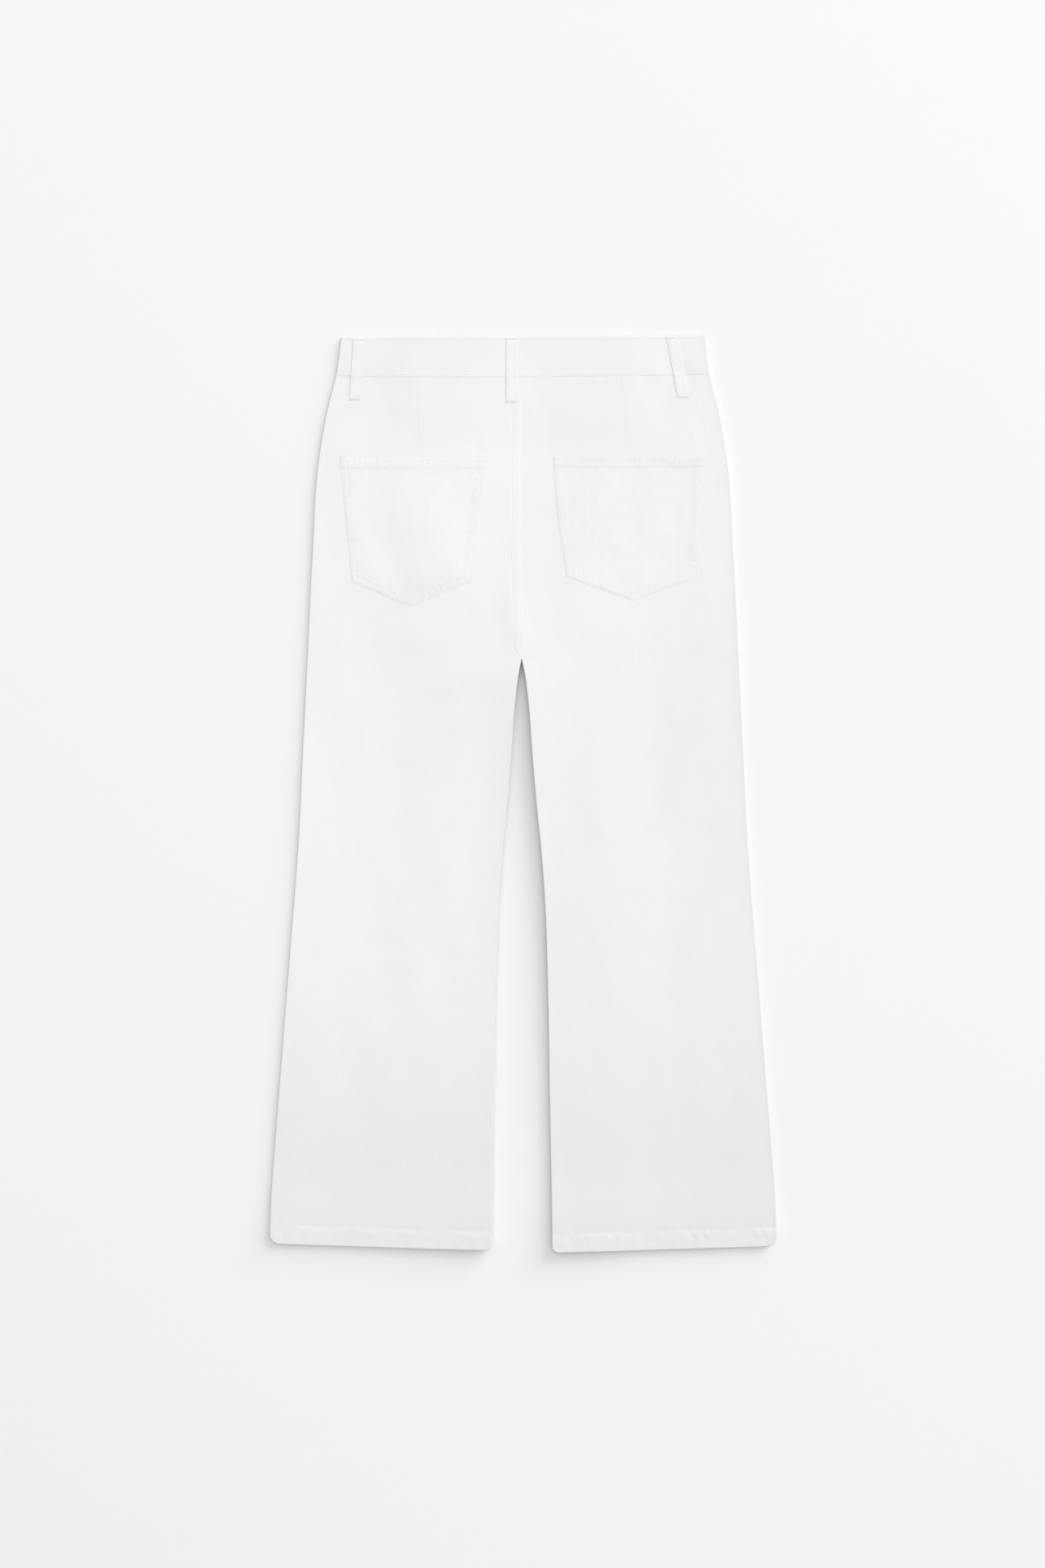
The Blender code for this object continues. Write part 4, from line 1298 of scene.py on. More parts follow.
@dataclass
class WaistbandFront:
    """One side of the front waistband, from its side seam to its end at the fly, face down."""

    lay: Lay
    side: Side
    end: float
    climbs: bool
    wall: float = 0.0012
    flat_depth: float = 0.042
    mean_depth: float = 0.0415
    fold: float = 0.0024
    peek: Bell = Bell(0.174, 0.016, 0.0011)
    short: float = 0.0002
    over: float = 0.0019
    over_ends: Stretch = Stretch(0.013, 0.017)
    roll_width: float = 0.0009
    top_roll: float = 0.00055
    foot_roll: float = 0.0003
    top_row: Bell = Bell(0.0032, 0.0008, 0.00010)
    foot_row: Bell = Bell(0.0028, 0.0008, 0.00010)
    top_shade: Fade = Fade(0.20, 0.0020)
    side_shade: float = 0.28
    gathers: Fade = Fade(0.4, 0.005)
    turns: int = 7
    columns: int = 89
    rows: int = 30
    crowding: float = 0.5

    @property
    def name(self) -> str:
        """The node's name that the shell stands for."""
        return f"waistband_front_{self.side.name.lower()}"

    def build(self, denim: bpy.types.Material) -> bpy.types.Object:
        """Makes the shell.

        It lies on the underside's height, folds at the side seam, and is rolled along its top and foot.
        It peeks out over the back's top at one place. The underlap climbs over the other side's end on
        an ease curve. Its tone carries painted shade, darker along the top, and at the side seam on the
        right.

        Args:
            denim: Its cloth.

        Returns:
            The piece.
        """
        lay, sign = self.lay, self.side.value
        turn = np.linspace(0.0, math.pi / 2, self.turns)
        level = np.linspace(0.0, 1.0, self.columns + 1)[1:]
        angle = np.concatenate([turn, np.full(len(level), math.pi / 2)])
        share = np.concatenate([np.zeros(self.turns), level])
        guide = sign * lay.waist_half * (1 - share)
        top, foot = lay.waist_top(guide) - self.peek.height(guide), lay.waist_seam(guide) - self.short
        down = top + (foot - top) * crowded(self.rows, self.crowding)[:, None]
        edge = sign * lay.side_edge(down)

        def section(wall: float) -> Array:
            """One grid, drawn in by a wall."""
            drawn = wall + (self.fold - wall) * (1 - np.cos(angle))
            start = edge - sign * self.fold
            x = np.where(share == 0.0, edge - sign * drawn, start + (self.end - start) * share)
            over = self.over * self.over_ends.before(x) if self.climbs else 0.0
            sunk = self.top_roll * round_over((down - top) / self.roll_width)
            sunk = sunk + self.foot_roll * round_over((foot - down) / self.roll_width)
            sunk = sunk + self.top_row.height(down - top) + self.foot_row.height(foot - down)
            rest = lay.underside(x, down)
            height = rest + over + (wall - sunk if wall else sunk)
            seam = rest + lay.seam_up - lay.seam_gap / 2
            return lay.place(x, down, height * np.sin(angle) + seam * (1 - np.sin(angle)))

        # painted shade along the top, and at the side seam on the right
        tone = lay.tone(guide, down) - self.top_shade.left(down - top)
        tone = tone - self.side_shade * (self.side is Side.RIGHT) * (share == 0.0)
        seam = self.gathers.left(np.minimum(down - top, foot - down))
        uv = np.stack([down, guide + 0.0 * down], axis=-1)
        made = Cloth(section(0.0), section(self.wall), uv, tone, seam).shell(f"denim_{self.name}", denim)
        return dressed(made, self.name, [])


@dataclass
class Pocket:
    """A patch pocket with a turned hem along its top and a pointed foot, sewn on with two rows."""

    name: str
    leg: Leg
    seed: int
    top: float
    top_left: float
    top_right: float
    corner: float
    left: float
    right: float
    tip: float
    tip_x: float
    bow: float = 0.0
    # how much painted shade darkens the cloth inside the right side
    pressed: float = 0.0
    creases: tuple[Crease, ...] = ()
    flat: tuple[float, float] = (0.155, 0.160)
    area: float = 0.0205
    hem: float = 0.0125
    allowance: float = 0.0095
    rows_in: tuple[float, float] = (0.0016, 0.0078)
    row_width: float = 0.0009
    row_depth: float = 0.00005
    wall: float = 0.00013
    clear: float = 0.00006
    inner_clear: float = 0.00003
    rim: float = 0.15
    edge_width: float = 0.0024
    top_width: float = 0.0040
    turned_in: float = 0.00014
    turned_ends: Stretch = Stretch(-0.003, 0.006)
    turned_edge: float = 0.0020
    hem_ends: Stretch = Stretch(-0.0008, 0.0022)
    hem_edge: float = 0.0045
    hem_groove: Bell = Bell(0.0004, 0.0011, 0.00017)
    groove_side: Fade = Fade(1.0, 0.020)
    groove_middle: float = 0.1
    firm: Strength = Strength(0.7, (0.0, 1.5), Uneven(0.5, 0.045, 5))
    vary: Strength = Strength(0.45, (0.0, 1.5), Uneven(0.8, 0.030, 0))
    wander: Uneven = Uneven(0.30, 0.040, 1)
    uneven: Uneven = Uneven(0.00004, 0.014, 3)
    foot_puckers: Puckers = Puckers(0.00008, 0.0068, 0.35, (Bell(0.0052, 0.0034),))
    side_puckers: Puckers = Puckers(0.00006, 0.0075, 0.3, (Bell(0.0050, 0.0030),))
    hem_puckers: Puckers = Puckers(0.00012, 0.0060, 0.2, (Bell(0.0075, 0.0045),))
    side_puckered: Stretch = Stretch(0.004, 0.006)
    creased_edge: Stretch = Stretch(0.0, 0.014)
    creased_top: Stretch = Stretch(-0.004, 0.016)
    # painted shade along the top and right edges and over the hem, and painted light along the left side
    # and the foot
    lit_shade: Fade = Fade(0.050, 0.0008)
    right_shade_width: float = 0.010
    hem_shade: float = 0.018
    hem_shade_ends: Stretch = Stretch(0.004, 0.010)
    painted_light_edge: Fade = Fade(0.030, 0.0010)
    painted_light_stops: float = 0.002
    edge_gathers: Bell = Bell(0.0045, 0.004, 0.5)
    hem_gathers: Bell = Bell(0.0075, 0.005, 0.5)
    columns: tuple[int, float] = (139, 0.25)
    rows: tuple[int, float] = (142, 0.28)

    def side_x(self, down: Array) -> tuple[Array, Array]:
        """The left and right edges: straight from top to corner, the left one bowed as a parabola."""
        fall = np.clip((down - self.top) / (self.corner - self.top), 0, 1)
        left = self.top_left + (self.left - self.top_left) * fall - self.bow * 4 * fall * (1 - fall)
        return left, self.top_right + (self.right - self.top_right) * fall

    def foot(self, x: Array) -> Array:
        """The lower edge: straight down to the tip from each corner."""
        left = (x - self.left) / (self.tip_x - self.left)
        right = (self.right - x) / (self.right - self.tip_x)
        return self.corner + (self.tip - self.corner) * np.minimum(left, right)

    def distances(self, x: Array, down: Array) -> tuple[Array, Array, Array]:
        """How far each point lies inside the sides, the foot and the top."""
        left, right = self.side_x(down)
        slope = math.cos(math.atan((self.tip - self.corner) / (self.tip_x - self.left)))
        return np.minimum(x - left, right - x), (self.foot(x) - down) * slope, down - self.top

    def risen(self, share: Array) -> Array:
        """How much of the wall stands, from the rim's share at an edge to all of it, on an ease curve."""
        return self.rim + (1.0 - self.rim) * ease(share)

    def relief(self, x: Array, down: Array) -> Array:
        """Height over the leg's cloth.

        The pocket's cloth eases up from its edges, and is thicker over the turned allowance inside them
        and along its hem, which has a groove below it. Grooves follow both rows of stitches, and between
        them the cloth is gathered in slanting puckers that fade unevenly. Last come its own creases.

        Args:
            x: Distances across.
            down: Distances below the waist.

        Returns:
            Heights.
        """
        side, foot, top = (np.maximum(d, 0.0) for d in self.distances(x, down))
        edge = np.minimum(side, foot)
        below_hem = top - self.hem
        firm = self.firm.at(x, down, self.seed)
        rise = self.wall * self.risen(edge / self.edge_width) * self.risen(top / self.top_width)
        turned = firm * self.turned_ends.before(edge - self.allowance) * ease(edge / self.turned_edge)
        hemmed = self.hem_ends.before(below_hem) * ease(top / self.hem_edge)
        rise = rise + self.turned_in * (turned + hemmed)
        grooved = firm * (self.groove_middle + self.groove_side.left(side))
        rows = sum(hill((edge - row) / self.row_width) for row in self.rows_in)
        rise = rise - grooved * self.hem_groove.height(below_hem) - self.row_depth * rows

        wander = self.wander.height(x, down, self.seed)
        puckers = self.foot_puckers.height(x, foot, wander) + self.hem_puckers.height(x, top, wander)
        puckers = puckers + self.side_puckers.height(down, side, wander) * self.side_puckered.past(foot)
        rise = rise + puckers * self.vary.at(x, down, self.seed) + self.uneven.height(x, down, self.seed)
        creases = sum(crease.height(x, down) for crease in self.creases)
        return rise + creases * self.creased_edge.past(edge) * self.creased_top.past(top)

    def surface(self, x: Array, down: Array) -> Array:
        """Height of the pocket's dressed face."""
        return self.leg.surface(x, down) + self.clear + self.relief(x, down)

    def tone_and_gathers(self, x: Array, down: Array) -> tuple[Array, Array]:
        """The tone and the seam's puckers.

        The tone carries painted shade, darker along the top and right edges, over the hem, and by the
        pressed amount inside the right side, and painted light, paler along the left side and the foot.

        Args:
            x: Distances across.
            down: Distances below the waist.

        Returns:
            Two grids.
        """
        left, right = self.side_x(down)
        side, foot, top = self.distances(x, down)
        # painted shade along the top and right edges
        tone = self.leg.lay.tone(x, down) - self.lit_shade.left(np.minimum(top, right - x))
        # painted shade inside the right side
        tone = tone - self.pressed * np.exp(-(right - x) / self.right_shade_width)
        # painted shade over the hem
        tone = tone - self.hem_shade * self.hem_shade_ends.before(top)
        # painted light along the left side and the foot, stopping short of the right edge
        inside = right - x > self.painted_light_stops
        tone = tone + self.painted_light_edge.left(np.minimum(x - left, foot)) * inside
        gathers = self.edge_gathers.height(np.minimum(side, foot)) + self.hem_gathers.height(top)
        return tone, np.clip(gathers, 0, 1)

    def build(self, denim: bpy.types.Material) -> bpy.types.Object:
        """Makes the shell.

        Rows run from the top to the pointed foot, and columns from side to side, one of them at the tip.
        The inner grid follows the grooves of the outer one, so that they never meet.

        Args:
            denim: Its cloth.

        Returns:
            The piece.
        """
        share, fall = rimmed(crowded(*self.columns)), rimmed(crowded(*self.rows))
        tip_share = (self.tip_x - self.left) / (self.right - self.left)
        share[np.abs(share - tip_share).argmin()] = tip_share
        to_corner = np.minimum(share / tip_share, (1 - share) / (1 - tip_share))
        foot = self.corner + (self.tip - self.corner) * to_corner
        down = self.top + (foot - self.top) * fall[:, None]
        left, right = self.side_x(down)
        x = left + (right - left) * share
        lay, relief = self.leg.lay, self.relief(x, down)
        under = self.leg.surface(x, down) + self.clear
        outer = lay.place(x, down, under + relief)
        inner = lay.place(x, down, under + np.minimum(relief, 0.0) - self.inner_clear)
        uv = np.stack([x, down], axis=-1)
        made = Cloth(outer, inner, uv, *self.tone_and_gathers(x, down)).shell(f"denim_{self.name}", denim)
        return dressed(made, self.name, [f"denim_{self.leg.name}"])


@dataclass
class BackLoop:
    """A belt loop over the back waistband, tacked at its top and its foot and bowed between."""

    name: str
    band: WaistbandBack
    leg: Leg
    top_x: float
    foot_x: float
    top: float
    foot: float
    width: float = 0.0125
    wall: float = 0.00045
    clear: float = 0.00010
    inner_clear: float = 0.00006
    bow: float = 0.00005
    held: float = 0.2
    off_band: Stretch = Stretch(0.0, 0.003)
    edge_width: float = 0.0012
    edge_fall: float = 0.72
    right_wider: float = 0.0030
    right_falls: float = 0.23
    left_stands: float = 0.25
    below_band: Stretch = Stretch(0.044, 0.004)
    pressed: float = 0.55
    pressed_ends: Stretch = Stretch(0.0, 0.0070)
    end_fall: float = 0.8
    end_width: float = 0.0010
    row: Bell = Bell(0.0022, 0.0007, 0.00006)
    tack: Bell = Bell(0.0022, 0.0014, 0.00003)
    uneven: Uneven = Uneven(0.00004, 0.006, 51)
    paler: float = 0.010
    right_shade: Fade = Fade(0.110, 0.0014)
    gathers: float = 0.15
    cut_from: float = 0.31
    columns: tuple[int, float] = (27, 0.4)
    rows: tuple[int, float] = (80, 0.3)

    def under(self, x: Array, down: Array) -> Array:
        """Height of what the loop lies on: the band, and below its seam the leg."""
        lay = self.band.lay
        on_band = self.off_band.before(down - lay.waist_seam(x))
        on_leg = (1.0 - on_band) * self.leg.relief(x, down)
        return lay.back_height(x, down) + self.band.proud * on_band + on_leg

    def middle(self, down: Array) -> Array:
        """The x of the loop's middle: a straight line from its top to its foot."""
        share = (down - self.top) / (self.foot - self.top)
        return self.top_x + (self.foot_x - self.top_x) * share

    def bowed(self, share: Array) -> Array:
        """The bow's height along the loop, held down at both ends."""
        return self.bow * ease(share / self.held) * ease((1.0 - share) / self.held)

    def surface(self, x: Array, down: Array) -> Array:
        """Height of the loop's dressed face.

        What it lies on, the bow, and its wall, which falls in a quarter circle at the edges, is grooved
        along two rows of stitches and under the bar tacks, and is pressed thin towards both ends. The
        fall is wider and deeper on the right, and less deep on the left below the band.

        Args:
            x: Distances across.
            down: Distances below the waist.

        Returns:
            Heights over the floor.
        """
        share = np.clip((down - self.top) / (self.foot - self.top), 0.0, 1.0)
        aside = (x - self.middle(down)) / (self.width / 2)
        from_edge = np.maximum(1.0 - np.abs(aside), 0.0) * self.width / 2
        ends = np.minimum(share, 1 - share) * (self.foot - self.top)
        stands = self.left_stands * self.below_band.past(down) * (aside < 0.0)
        fall = self.edge_fall + self.right_falls * ease(aside) - stands
        wall = 1.0 - fall * round_over(from_edge / (self.edge_width + self.right_wider * ease(aside)))
        wall = wall * (1.0 - self.pressed * self.pressed_ends.before(ends))
        wall = self.wall * wall * (1.0 - self.end_fall * round_over(ends / self.end_width))
        wall = wall - self.row.height(from_edge) - self.tack.height(ends) + self.uneven.height(x, down)
        return self.under(x, down) + self.clear + self.bowed(share) + wall

    def build(self, denim: bpy.types.Material) -> bpy.types.Object:
        """Makes the shell of a strip with rounded edges, with painted shade along its right one.

        Args:
            denim: Its cloth.

        Returns:
            The piece.
        """
        across, share = 2 * rimmed(crowded(*self.columns)) - 1, rimmed(crowded(*self.rows))
        down = self.top + (self.foot - self.top) * share[:, None] + 0.0 * across
        x = self.middle(down) + across * self.width / 2
        lay = self.band.lay
        outer = lay.place(x, down, self.surface(x, down))
        inner = lay.place(x, down, self.under(x, down) + self.inner_clear + self.bowed(share)[:, None])
        from_edge = (1 - np.abs(across)) * self.width / 2
        # painted shade along the right edge
        tone = lay.tone(x, down) + self.paler - ease(across) * self.right_shade.left(from_edge)
        uv = np.stack([x - self.middle(down) + self.cut_from, down], axis=-1)
        made = Cloth(outer, inner, uv, tone, self.gathers + 0.0 * tone).shell(f"denim_{self.name}", denim)
        return dressed(made, self.name, ["denim_waistband_back"])


@dataclass
class FrontLoop:
    """A belt loop pressed flat between the front waistband and the floor."""

    name: str
    lay: Lay
    x: float
    top: float
    foot: float
    width: float = 0.0125
    wall: float = 0.0011
    edge_width: float = 0.0011
    lower_round: float = 0.0004
    upper_round: float = 0.0003
    row: Bell = Bell(0.0022, 0.0007, 0.0001)
    edge_shade: Fade = Fade(0.012, 0.0009)
    gathers: float = 0.15
    columns: tuple[int, float] = (17, 0.4)
    rows: int = 30

    def build(self, denim: bpy.types.Material) -> bpy.types.Object:
        """Makes the shell: a flat strip rounded at its edges, with the rows grooved in its lower face."""
        across = 2 * crowded(*self.columns) - 1
        down = self.top + (self.foot - self.top) * np.linspace(0, 1, self.rows)[:, None] + 0.0 * across
        x = self.x + across * self.width / 2 + 0.0 * down
        from_edge = (1 - np.abs(across)) * self.width / 2 + 0.0 * down
        rounded = round_over(from_edge / self.edge_width)
        outer = self.lay.place(x, down, self.lower_round * rounded + self.row.height(from_edge))
        inner = self.lay.place(x, down, self.wall - self.upper_round * rounded)
        uv = np.stack([x, down], axis=-1)
        tone = self.lay.tone(x, down) - self.edge_shade.left(from_edge)
        made = Cloth(outer, inner, uv, tone, self.gathers + 0.0 * tone).shell(f"denim_{self.name}", denim)
        return dressed(made, self.name, [])


@dataclass
class Stitching:
    """Rows of stitches and bar tacks on one piece, joined into one mesh."""

    name: str
    slot: str
    lay: Lay
    surface: Callable[[Array, Array], Array]
    radius: float = 0.00023
    stitch: float = 0.0026
    pitch: float = 0.0032
    arch: float = 0.50
    sunk: float = 0.30
    tip: float = 0.45
    tack_pitch: float = 1.7
    rings: int = 5
    sides: int = 6
    side_length: float = 0.0003
    starts: list[Array] = field(default_factory=list)
    ends: list[Array] = field(default_factory=list)

    def row(self, path: Array) -> None:
        """Adds stitches along a path: one at each pitch of its length, from its start."""
        lengths = np.concatenate([[0.0], np.cumsum(np.hypot(*np.diff(path, axis=0).T))])
        at = np.arange(self.pitch / 2, lengths[-1] - self.stitch, self.pitch)

        def points(along: Array) -> Array:
            """The path's points at distances along it."""
            return np.stack([np.interp(along, lengths, path[:, axis]) for axis in (0, 1)], -1)

        self.starts.append(points(at))
        self.ends.append(points(at + self.stitch))

    def tack(self, middle: Array, across: Array, along: Array) -> None:
        """Adds a bar tack.

        Its threads lie side by side over the vector across, and each is as long as the vector along.

        Args:
            middle: The tack's middle.
            across: From its first thread to its last.
            along: From a thread's start to its end.
        """
        count = int(np.hypot(*across) / (self.tack_pitch * self.radius))
        shares = np.linspace(-0.5, 0.5, count)[:, None]
        self.starts.append(middle + shares * across - along / 2)
        self.ends.append(middle + shares * across + along / 2)

    def faces(self) -> Array:
        """One stitch's quads: the tube between its rings, and two across each end's hexagon."""
        ring = np.arange(self.sides)
        base = (np.arange(self.rings - 1) * self.sides)[:, None]
        above, after = base + self.sides, (ring + 1) % self.sides
        tube = np.stack([base + ring, base + after, above + after, above + ring], -1)
        start = np.array([[0, 5, 4, 1], [1, 4, 3, 2]])
        end = (self.rings - 1) * self.sides + np.array([[0, 1, 4, 5], [1, 2, 3, 4]])
        return np.concatenate([tube.reshape(-1, 4), start, end])

    def build(self, thread: bpy.types.Material) -> bpy.types.Object:
        """Makes the mesh.

        A stitch is a tube of a few rings between its two ends. Its centre line rises from just inside
        the cloth as a sine and sinks again, and its radius swells from the ends to the middle.

        Args:
            thread: Its finish.

        Returns:
            The piece.
        """
        start, end = np.concatenate(self.starts), np.concatenate(self.ends)
        t = np.linspace(0.0, 1.0, self.rings)
        line = start[:, None, :] + (end - start)[:, None, :] * t[:, None]
        risen = np.sin(math.pi * t)
        centre = self.surface(line[..., 0], line[..., 1]) + self.radius * (self.arch * risen - self.sunk)
        swell = self.radius * (self.tip + (1.0 - self.tip) * risen**0.5)
        lengths = np.hypot(*(end - start).T)
        direction = (end - start) / lengths[:, None]
        turn = 2 * math.pi * np.arange(self.sides) / self.sides
        aside = swell[None, :, None] * np.cos(turn)
        up = swell[None, :, None] * np.sin(turn)
        x = line[..., 0][..., None] - direction[:, None, None, 1] * aside
        down = line[..., 1][..., None] + direction[:, None, None, 0] * aside
        points = self.lay.place(x, down, centre[..., None] + up).reshape(-1, 3)

        firsts = np.arange(len(start)) * self.rings * self.sides
        faces = (self.faces() + firsts[:, None, None]).reshape(-1, 4)
        if enclosed(points, faces) < 0:
            faces = faces[:, ::-1]
        round_it = np.broadcast_to(np.arange(self.sides) * self.side_length, x.shape)
        along = np.broadcast_to(lengths[:, None, None] * t[None, :, None], x.shape)
        uv = np.stack([round_it, along], -1).reshape(-1, 2)
        made = mesh_object(self.name, points, faces, uv, thread)
        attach(made, "root")
        return made


def straight(x0: float, down0: float, x1: float, down1: float) -> Array:
    """A path of two points."""
    return np.array([[x0, down0], [x1, down1]])


@dataclass(frozen=True)
class Softbox:
    """A square light, aimed at the garment's middle."""

    place: tuple[float, float, float]
    size: float
    power: float


@dataclass
class Studio:
    """Pale floor, white surround and two soft lights, with the camera straight above."""

    height: float = 4.533
    aim: tuple[float, float] = (-0.0004, 0.0097)
    lens: float = 100.0
    sensor: float = 36.0
    board_half: float = 12.0
    board_below: float = 0.0002
    board_tone: float = 0.90
    board_mottle: float = 0.002
    board_grain: tuple[float, float, float] = (9, 9, 9)
    surround: float = 0.395
    lights: tuple[Softbox, ...] = (
        Softbox((0.6, 1.2, 10.5), 8.4, 490.0),
        Softbox((7.9, 8.2, 5.3), 9.6, 1125.0),
    )

    def floor(self) -> None:
        """A square of pale board, matt and faintly mottled, just under the garment."""
        half = self.board_half
        corners = np.array([[-half, -half, 0], [half, -half, 0], [half, half, 0], [-half, half, 0]])
        corners[:, 2] = -self.board_below
        made = bpy.data.materials.new("pale_board")
        nodes = Nodes(made)
        nodes.set({"Roughness": 0.9})
        place = nodes.add("ShaderNodeTexCoord").outputs["Object"]
        grain = nodes.noise(nodes.scaled(place, self.board_grain), 2.0)
        low, high = (tuple([self.board_tone + d] * 3) for d in (-self.board_mottle, self.board_mottle))
        nodes.link(nodes.mixed(grain, low, high), nodes.shader.inputs["Base Color"])
        floor = mesh_object("floor", corners, np.array([[0, 1, 2, 3]]), corners[:, :2], made)

    def light(self) -> None:
        """The surround and the area lights."""
        world = bpy.data.worlds.new("surround")
        bpy.context.scene.world = world
        world.use_nodes = True
        world.node_tree.nodes["Background"].inputs["Color"].default_value = (1, 1, 1, 1)
        world.node_tree.nodes["Background"].inputs["Strength"].default_value = self.surround
        for number, light in enumerate(self.lights):
            data = bpy.data.lights.new(f"softbox_{number}", "AREA")
            data.shape = "SQUARE"
            data.size = light.size
            data.energy = light.power
            lamp = bpy.data.objects.new(data.name, data)
            lamp.location = light.place
            lamp.rotation_euler = (-Vector(light.place)).to_track_quat("-Z", "Y").to_euler()
            bpy.context.scene.collection.objects.link(lamp)

    def camera(self) -> None:
        """The camera, looking straight down with the waist at the top."""
        data = bpy.data.cameras.new("camera")
        data.lens, data.sensor_width = self.lens, self.sensor
        camera = bpy.data.objects.new("camera", data)
        camera.location = (*self.aim, self.height)
        bpy.context.scene.collection.objects.link(camera)
        bpy.context.scene.camera = camera
        bpy.context.scene.view_settings.view_transform = "Standard"


@dataclass
class Jeans:
    """The whole garment: legs, waistband, pockets, loops, stitching and button."""

    lay: Lay = field(default_factory=Lay)
    denim: Denim = field(default_factory=Denim)
    thread: Thread = field(default_factory=Thread)
    nickel: Nickel = field(default_factory=Nickel)
    hem_row: float = 0.0012
    hem_row_ends: float = 0.012
    band_row_half: float = 0.184
    pocket_row_from: float = 0.001
    pocket_hem_row: tuple[float, float] = (0.002, 0.0004)
    loop_row_from: float = 0.004
    tack: tuple[float, float] = (0.0100, 0.0018)

    def __post_init__(self) -> None:
        """Lays out the pieces."""
        self.backs = {side: Leg(side, Face.BACK, self.lay) for side in Side}
        self.fronts = {side: Leg(side, Face.FRONT, self.lay) for side in Side}
        self.band = WaistbandBack(self.lay)
        self.front_bands = (
            WaistbandFront(self.lay, Side.LEFT, end=0.011, climbs=False),
            WaistbandFront(self.lay, Side.RIGHT, end=-0.038, climbs=True),
        )
        self.pockets = (self.left_pocket(), self.right_pocket())
        left, right = self.backs[Side.LEFT], self.backs[Side.RIGHT]
        self.loops = tuple(
            BackLoop(f"belt_loop_back_{name}", self.band, leg, top_x, foot_x, top, foot)
            for name, leg, top_x, foot_x, top, foot in (
                ("left", left, -0.1705, -0.1745, 0.0026, 0.0681),
                ("centre", right, -0.0115, -0.0115, 0.0016, 0.0706),
                ("right", right, 0.1550, 0.1672, 0.0006, 0.0659),
            )
        )
        self.front_loops = (
            FrontLoop("belt_loop_front_left", self.lay, x=-0.098, top=0.0025, foot=0.0660),
            FrontLoop("belt_loop_front_right", self.lay, x=0.098, top=0.0015, foot=0.0650),
        )

    def left_pocket(self) -> Pocket:
        """The left back pocket, slack inside, with painted shade along its right side."""
        return Pocket(
            "pocket_back_left",
            self.backs[Side.LEFT],
            seed=61,
            top=0.1250,
            top_left=-0.1908,
            top_right=-0.0378,
            corner=0.2568,
            left=-0.1781,
            right=-0.0540,
            tip=0.2822,
            tip_x=-0.1169,
            pressed=0.022,
            creases=(
                Crease(-0.121, 0.205, 0.078, 0.045, 60, 0.0015),
                Crease(-0.146, 0.222, 0.055, 0.016, 62, -0.0007),
                Crease(-0.140, 0.150, 0.030, 0.012, 130, -0.0002),
                Crease(-0.068, 0.250, 0.020, 0.010, 60, 0.0004),
            ),
        )

    def right_pocket(self) -> Pocket:
        """The right back pocket, bowed a little along its left side."""
        return Pocket(
            "pocket_back_right",
            self.backs[Side.RIGHT],
            seed=71,
            top=0.1240,
            top_left=0.0319,
            top_right=0.1883,
            corner=0.2516,
            left=0.0455,
            right=0.1823,
            tip=0.2763,
            tip_x=0.1143,
            bow=0.0025,
            creases=(
                Crease(0.124, 0.258, 0.022, 0.015, 95, 0.0006),
                Crease(0.098, 0.216, 0.010, 0.012, 70, 0.0004),
                Crease(0.140, 0.205, 0.016, 0.014, 80, 0.0004),
                Crease(0.152, 0.136, 0.018, 0.006, 20, -0.0003),
                Crease(0.165, 0.133, 0.014, 0.005, 150, 0.0003),
            ),
        )

    def sew_leg(self, leg: Leg) -> Stitching:
        """The rows on a back leg: along the hem, and on the right two down the seat seam."""
        lay, sign = self.lay, leg.side.value
        sewing = Stitching(f"stitching_{leg.name}", leg.name, lay, leg.surface)
        share = np.linspace(self.hem_row_ends, 1.0 - self.hem_row_ends, 80)
        down = lay.hem_edge(share, leg.side) - lay.hem_band + self.hem_row
        inner = sign * lay.centre_line(down, Face.BACK) + lay.half_gap(down)
        x = sign * (inner + (lay.side_edge(down) - inner) * share)
        sewing.row(np.stack([x, down], -1))
        if leg.side is Side.RIGHT:
            down = np.linspace(*leg.seat.sewn, 60)
            for aside in leg.seat.rows:
                sewing.row(np.stack([lay.centre_line(down, Face.BACK) + aside, down], -1))
        return sewing

    def sew_band(self) -> Stitching:
        """The two rows along the back waistband."""
        lay = self.lay
        sewing = Stitching("stitching_waistband_back", self.band.name, lay, self.band.surface)
        x = np.linspace(-self.band_row_half, self.band_row_half, 90)
        sewing.row(np.stack([x, lay.waist_top(x) + self.band.rows_in[0]], -1))
        sewing.row(np.stack([x, lay.waist_seam(x) - self.band.rows_in[1]], -1))
        return sewing

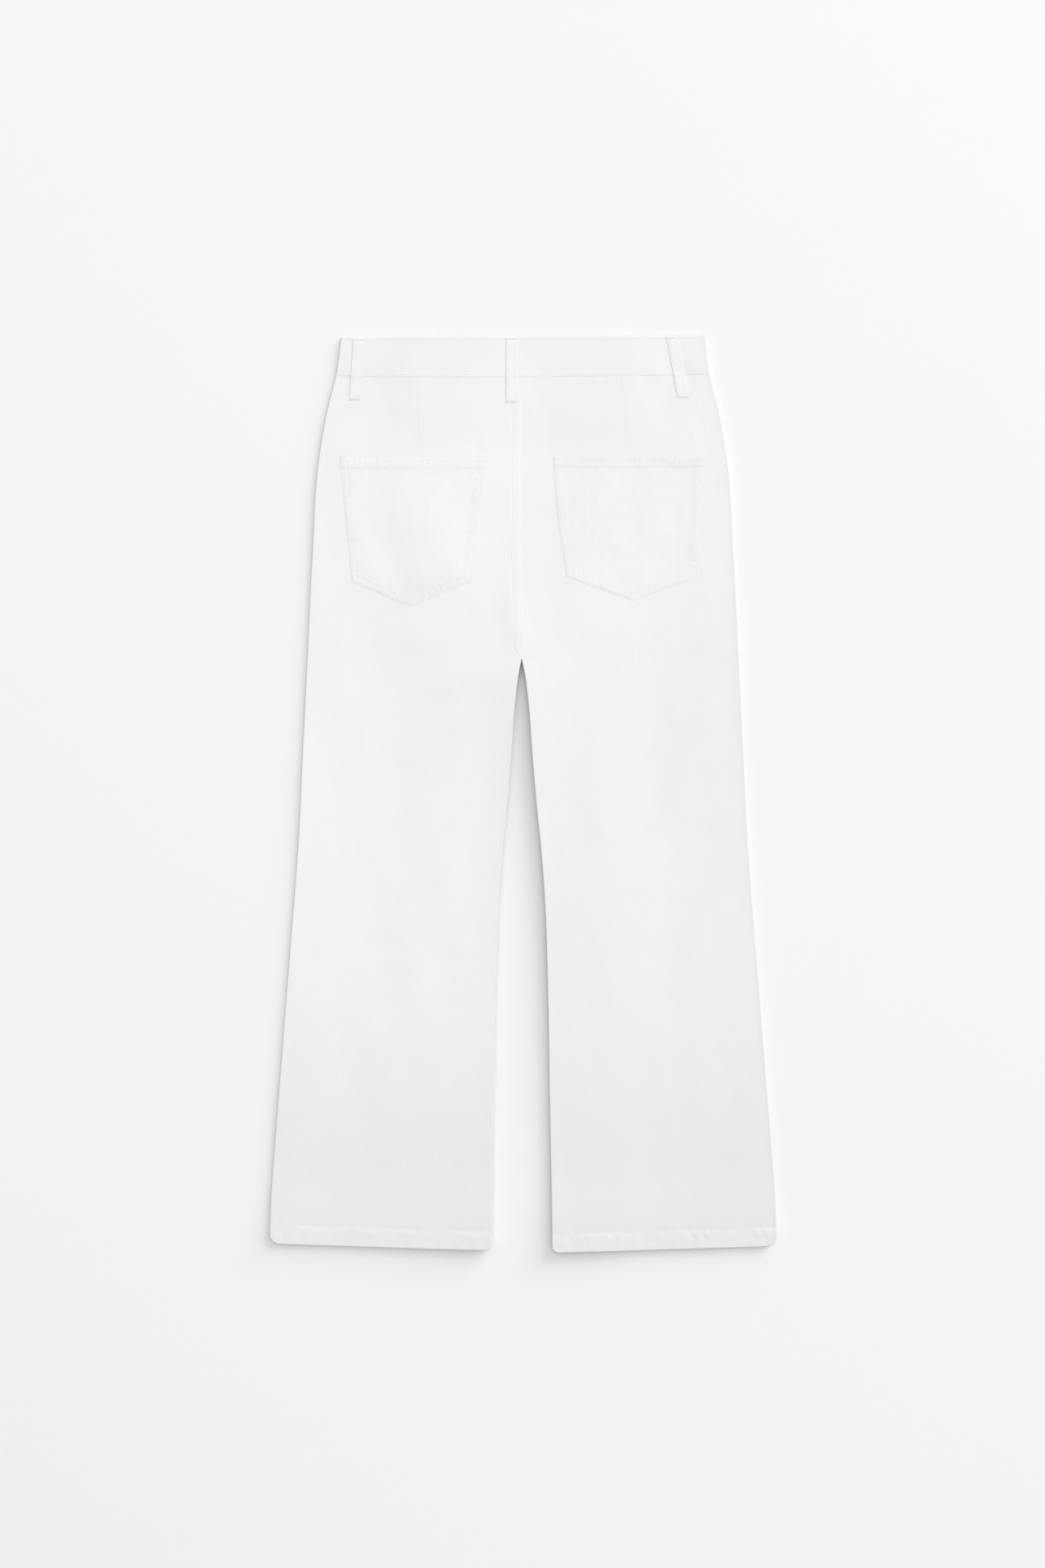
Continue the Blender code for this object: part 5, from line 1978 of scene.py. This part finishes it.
    def sew_pocket(self, pocket: Pocket) -> Stitching:
        """The two rows round a pocket's sides and foot, and the one under its hem.

        A row turns where its inset from both edges meets, so it ends a share of the inset above the
        corner and a little more than the inset above the tip.

        Args:
            pocket: The pocket.

        Returns:
            Its stitching.
        """
        corner_share, tip_share = 0.8, 1.03
        sewing = Stitching(f"stitching_{pocket.name}", pocket.name, self.lay, pocket.surface)
        for inset in pocket.rows_in:
            down = np.linspace(pocket.top + self.pocket_row_from, pocket.corner - corner_share * inset, 40)
            left, right = pocket.side_x(down)
            tip = np.array([[pocket.tip_x, pocket.tip - tip_share * inset]])
            down_side = np.stack([left + inset, down], -1)
            up_side = np.stack([right - inset, down], -1)[::-1]
            sewing.row(np.concatenate([down_side, tip]))
            sewing.row(np.concatenate([tip, up_side]))
        inset, below = self.pocket_hem_row
        down = pocket.top + pocket.hem + below
        left, right = pocket.side_x(down)
        sewing.row(straight(left + inset, down, right - inset, down))
        return sewing

    def sew_loop(self, loop: BackLoop) -> Stitching:
        """The two rows down a belt loop, and a bar tack at each end."""
        sewing = Stitching(f"stitching_{loop.name}", loop.name, self.lay, loop.surface)
        top, foot = loop.top + self.loop_row_from, loop.foot - self.loop_row_from
        for side in (-1, 1):
            aside = side * (loop.width / 2 - loop.row.at)
            sewing.row(straight(loop.middle(top) + aside, top, loop.middle(foot) + aside, foot))
        across, along = self.tack
        for down in (loop.top + loop.tack.at, loop.foot - loop.tack.at):
            middle = np.array([loop.middle(down), down])
            sewing.tack(middle, np.array([across, 0.0]), np.array([0.0, along]))
        return sewing

    def build(self) -> None:
        """Builds and dresses every piece, in the order a maker sews them."""
        cloth = {}
        for name in ("leg", "waistband", "pocket", "loop"):
            cloth[name] = self.denim.material(f"denim_{name}")
        thread = self.thread.material("white_thread")
        for leg in (*self.fronts.values(), *self.backs.values()):
            report(leg.build(cloth["leg"]))
        for band in (self.band, *self.front_bands):
            report(band.build(cloth["waistband"]))
        for pocket in self.pockets:
            report(pocket.build(cloth["pocket"]))
            report(self.sew_pocket(pocket).build(thread))
        for loop in (*self.loops, *self.front_loops):
            report(loop.build(cloth["loop"]))
        for leg in self.backs.values():
            report(self.sew_leg(leg).build(thread))
        report(self.sew_band().build(thread))
        for loop in self.loops:
            report(self.sew_loop(loop).build(thread))
        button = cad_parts["button"]
        low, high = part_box("button")
        button.data.materials.clear()
        button.data.materials.append(self.nickel.material("dull_nickel", (low + high) / 2))
        report(button)


def report(piece: bpy.types.Object) -> None:
    """Logs a finished piece and its size."""
    size = piece.dimensions * 1000
    log.info("%s: %.1f x %.1f x %.1f mm, %d faces", piece.name, *size, len(piece.data.polygons))


def main() -> None:
    """Builds the jeans and the studio."""
    logging.basicConfig(level=logging.INFO, format="%(message)s")
    Jeans().build()
    studio = Studio()
    studio.floor()
    studio.light()
    studio.camera()


if __name__ == "__main__":
    main()
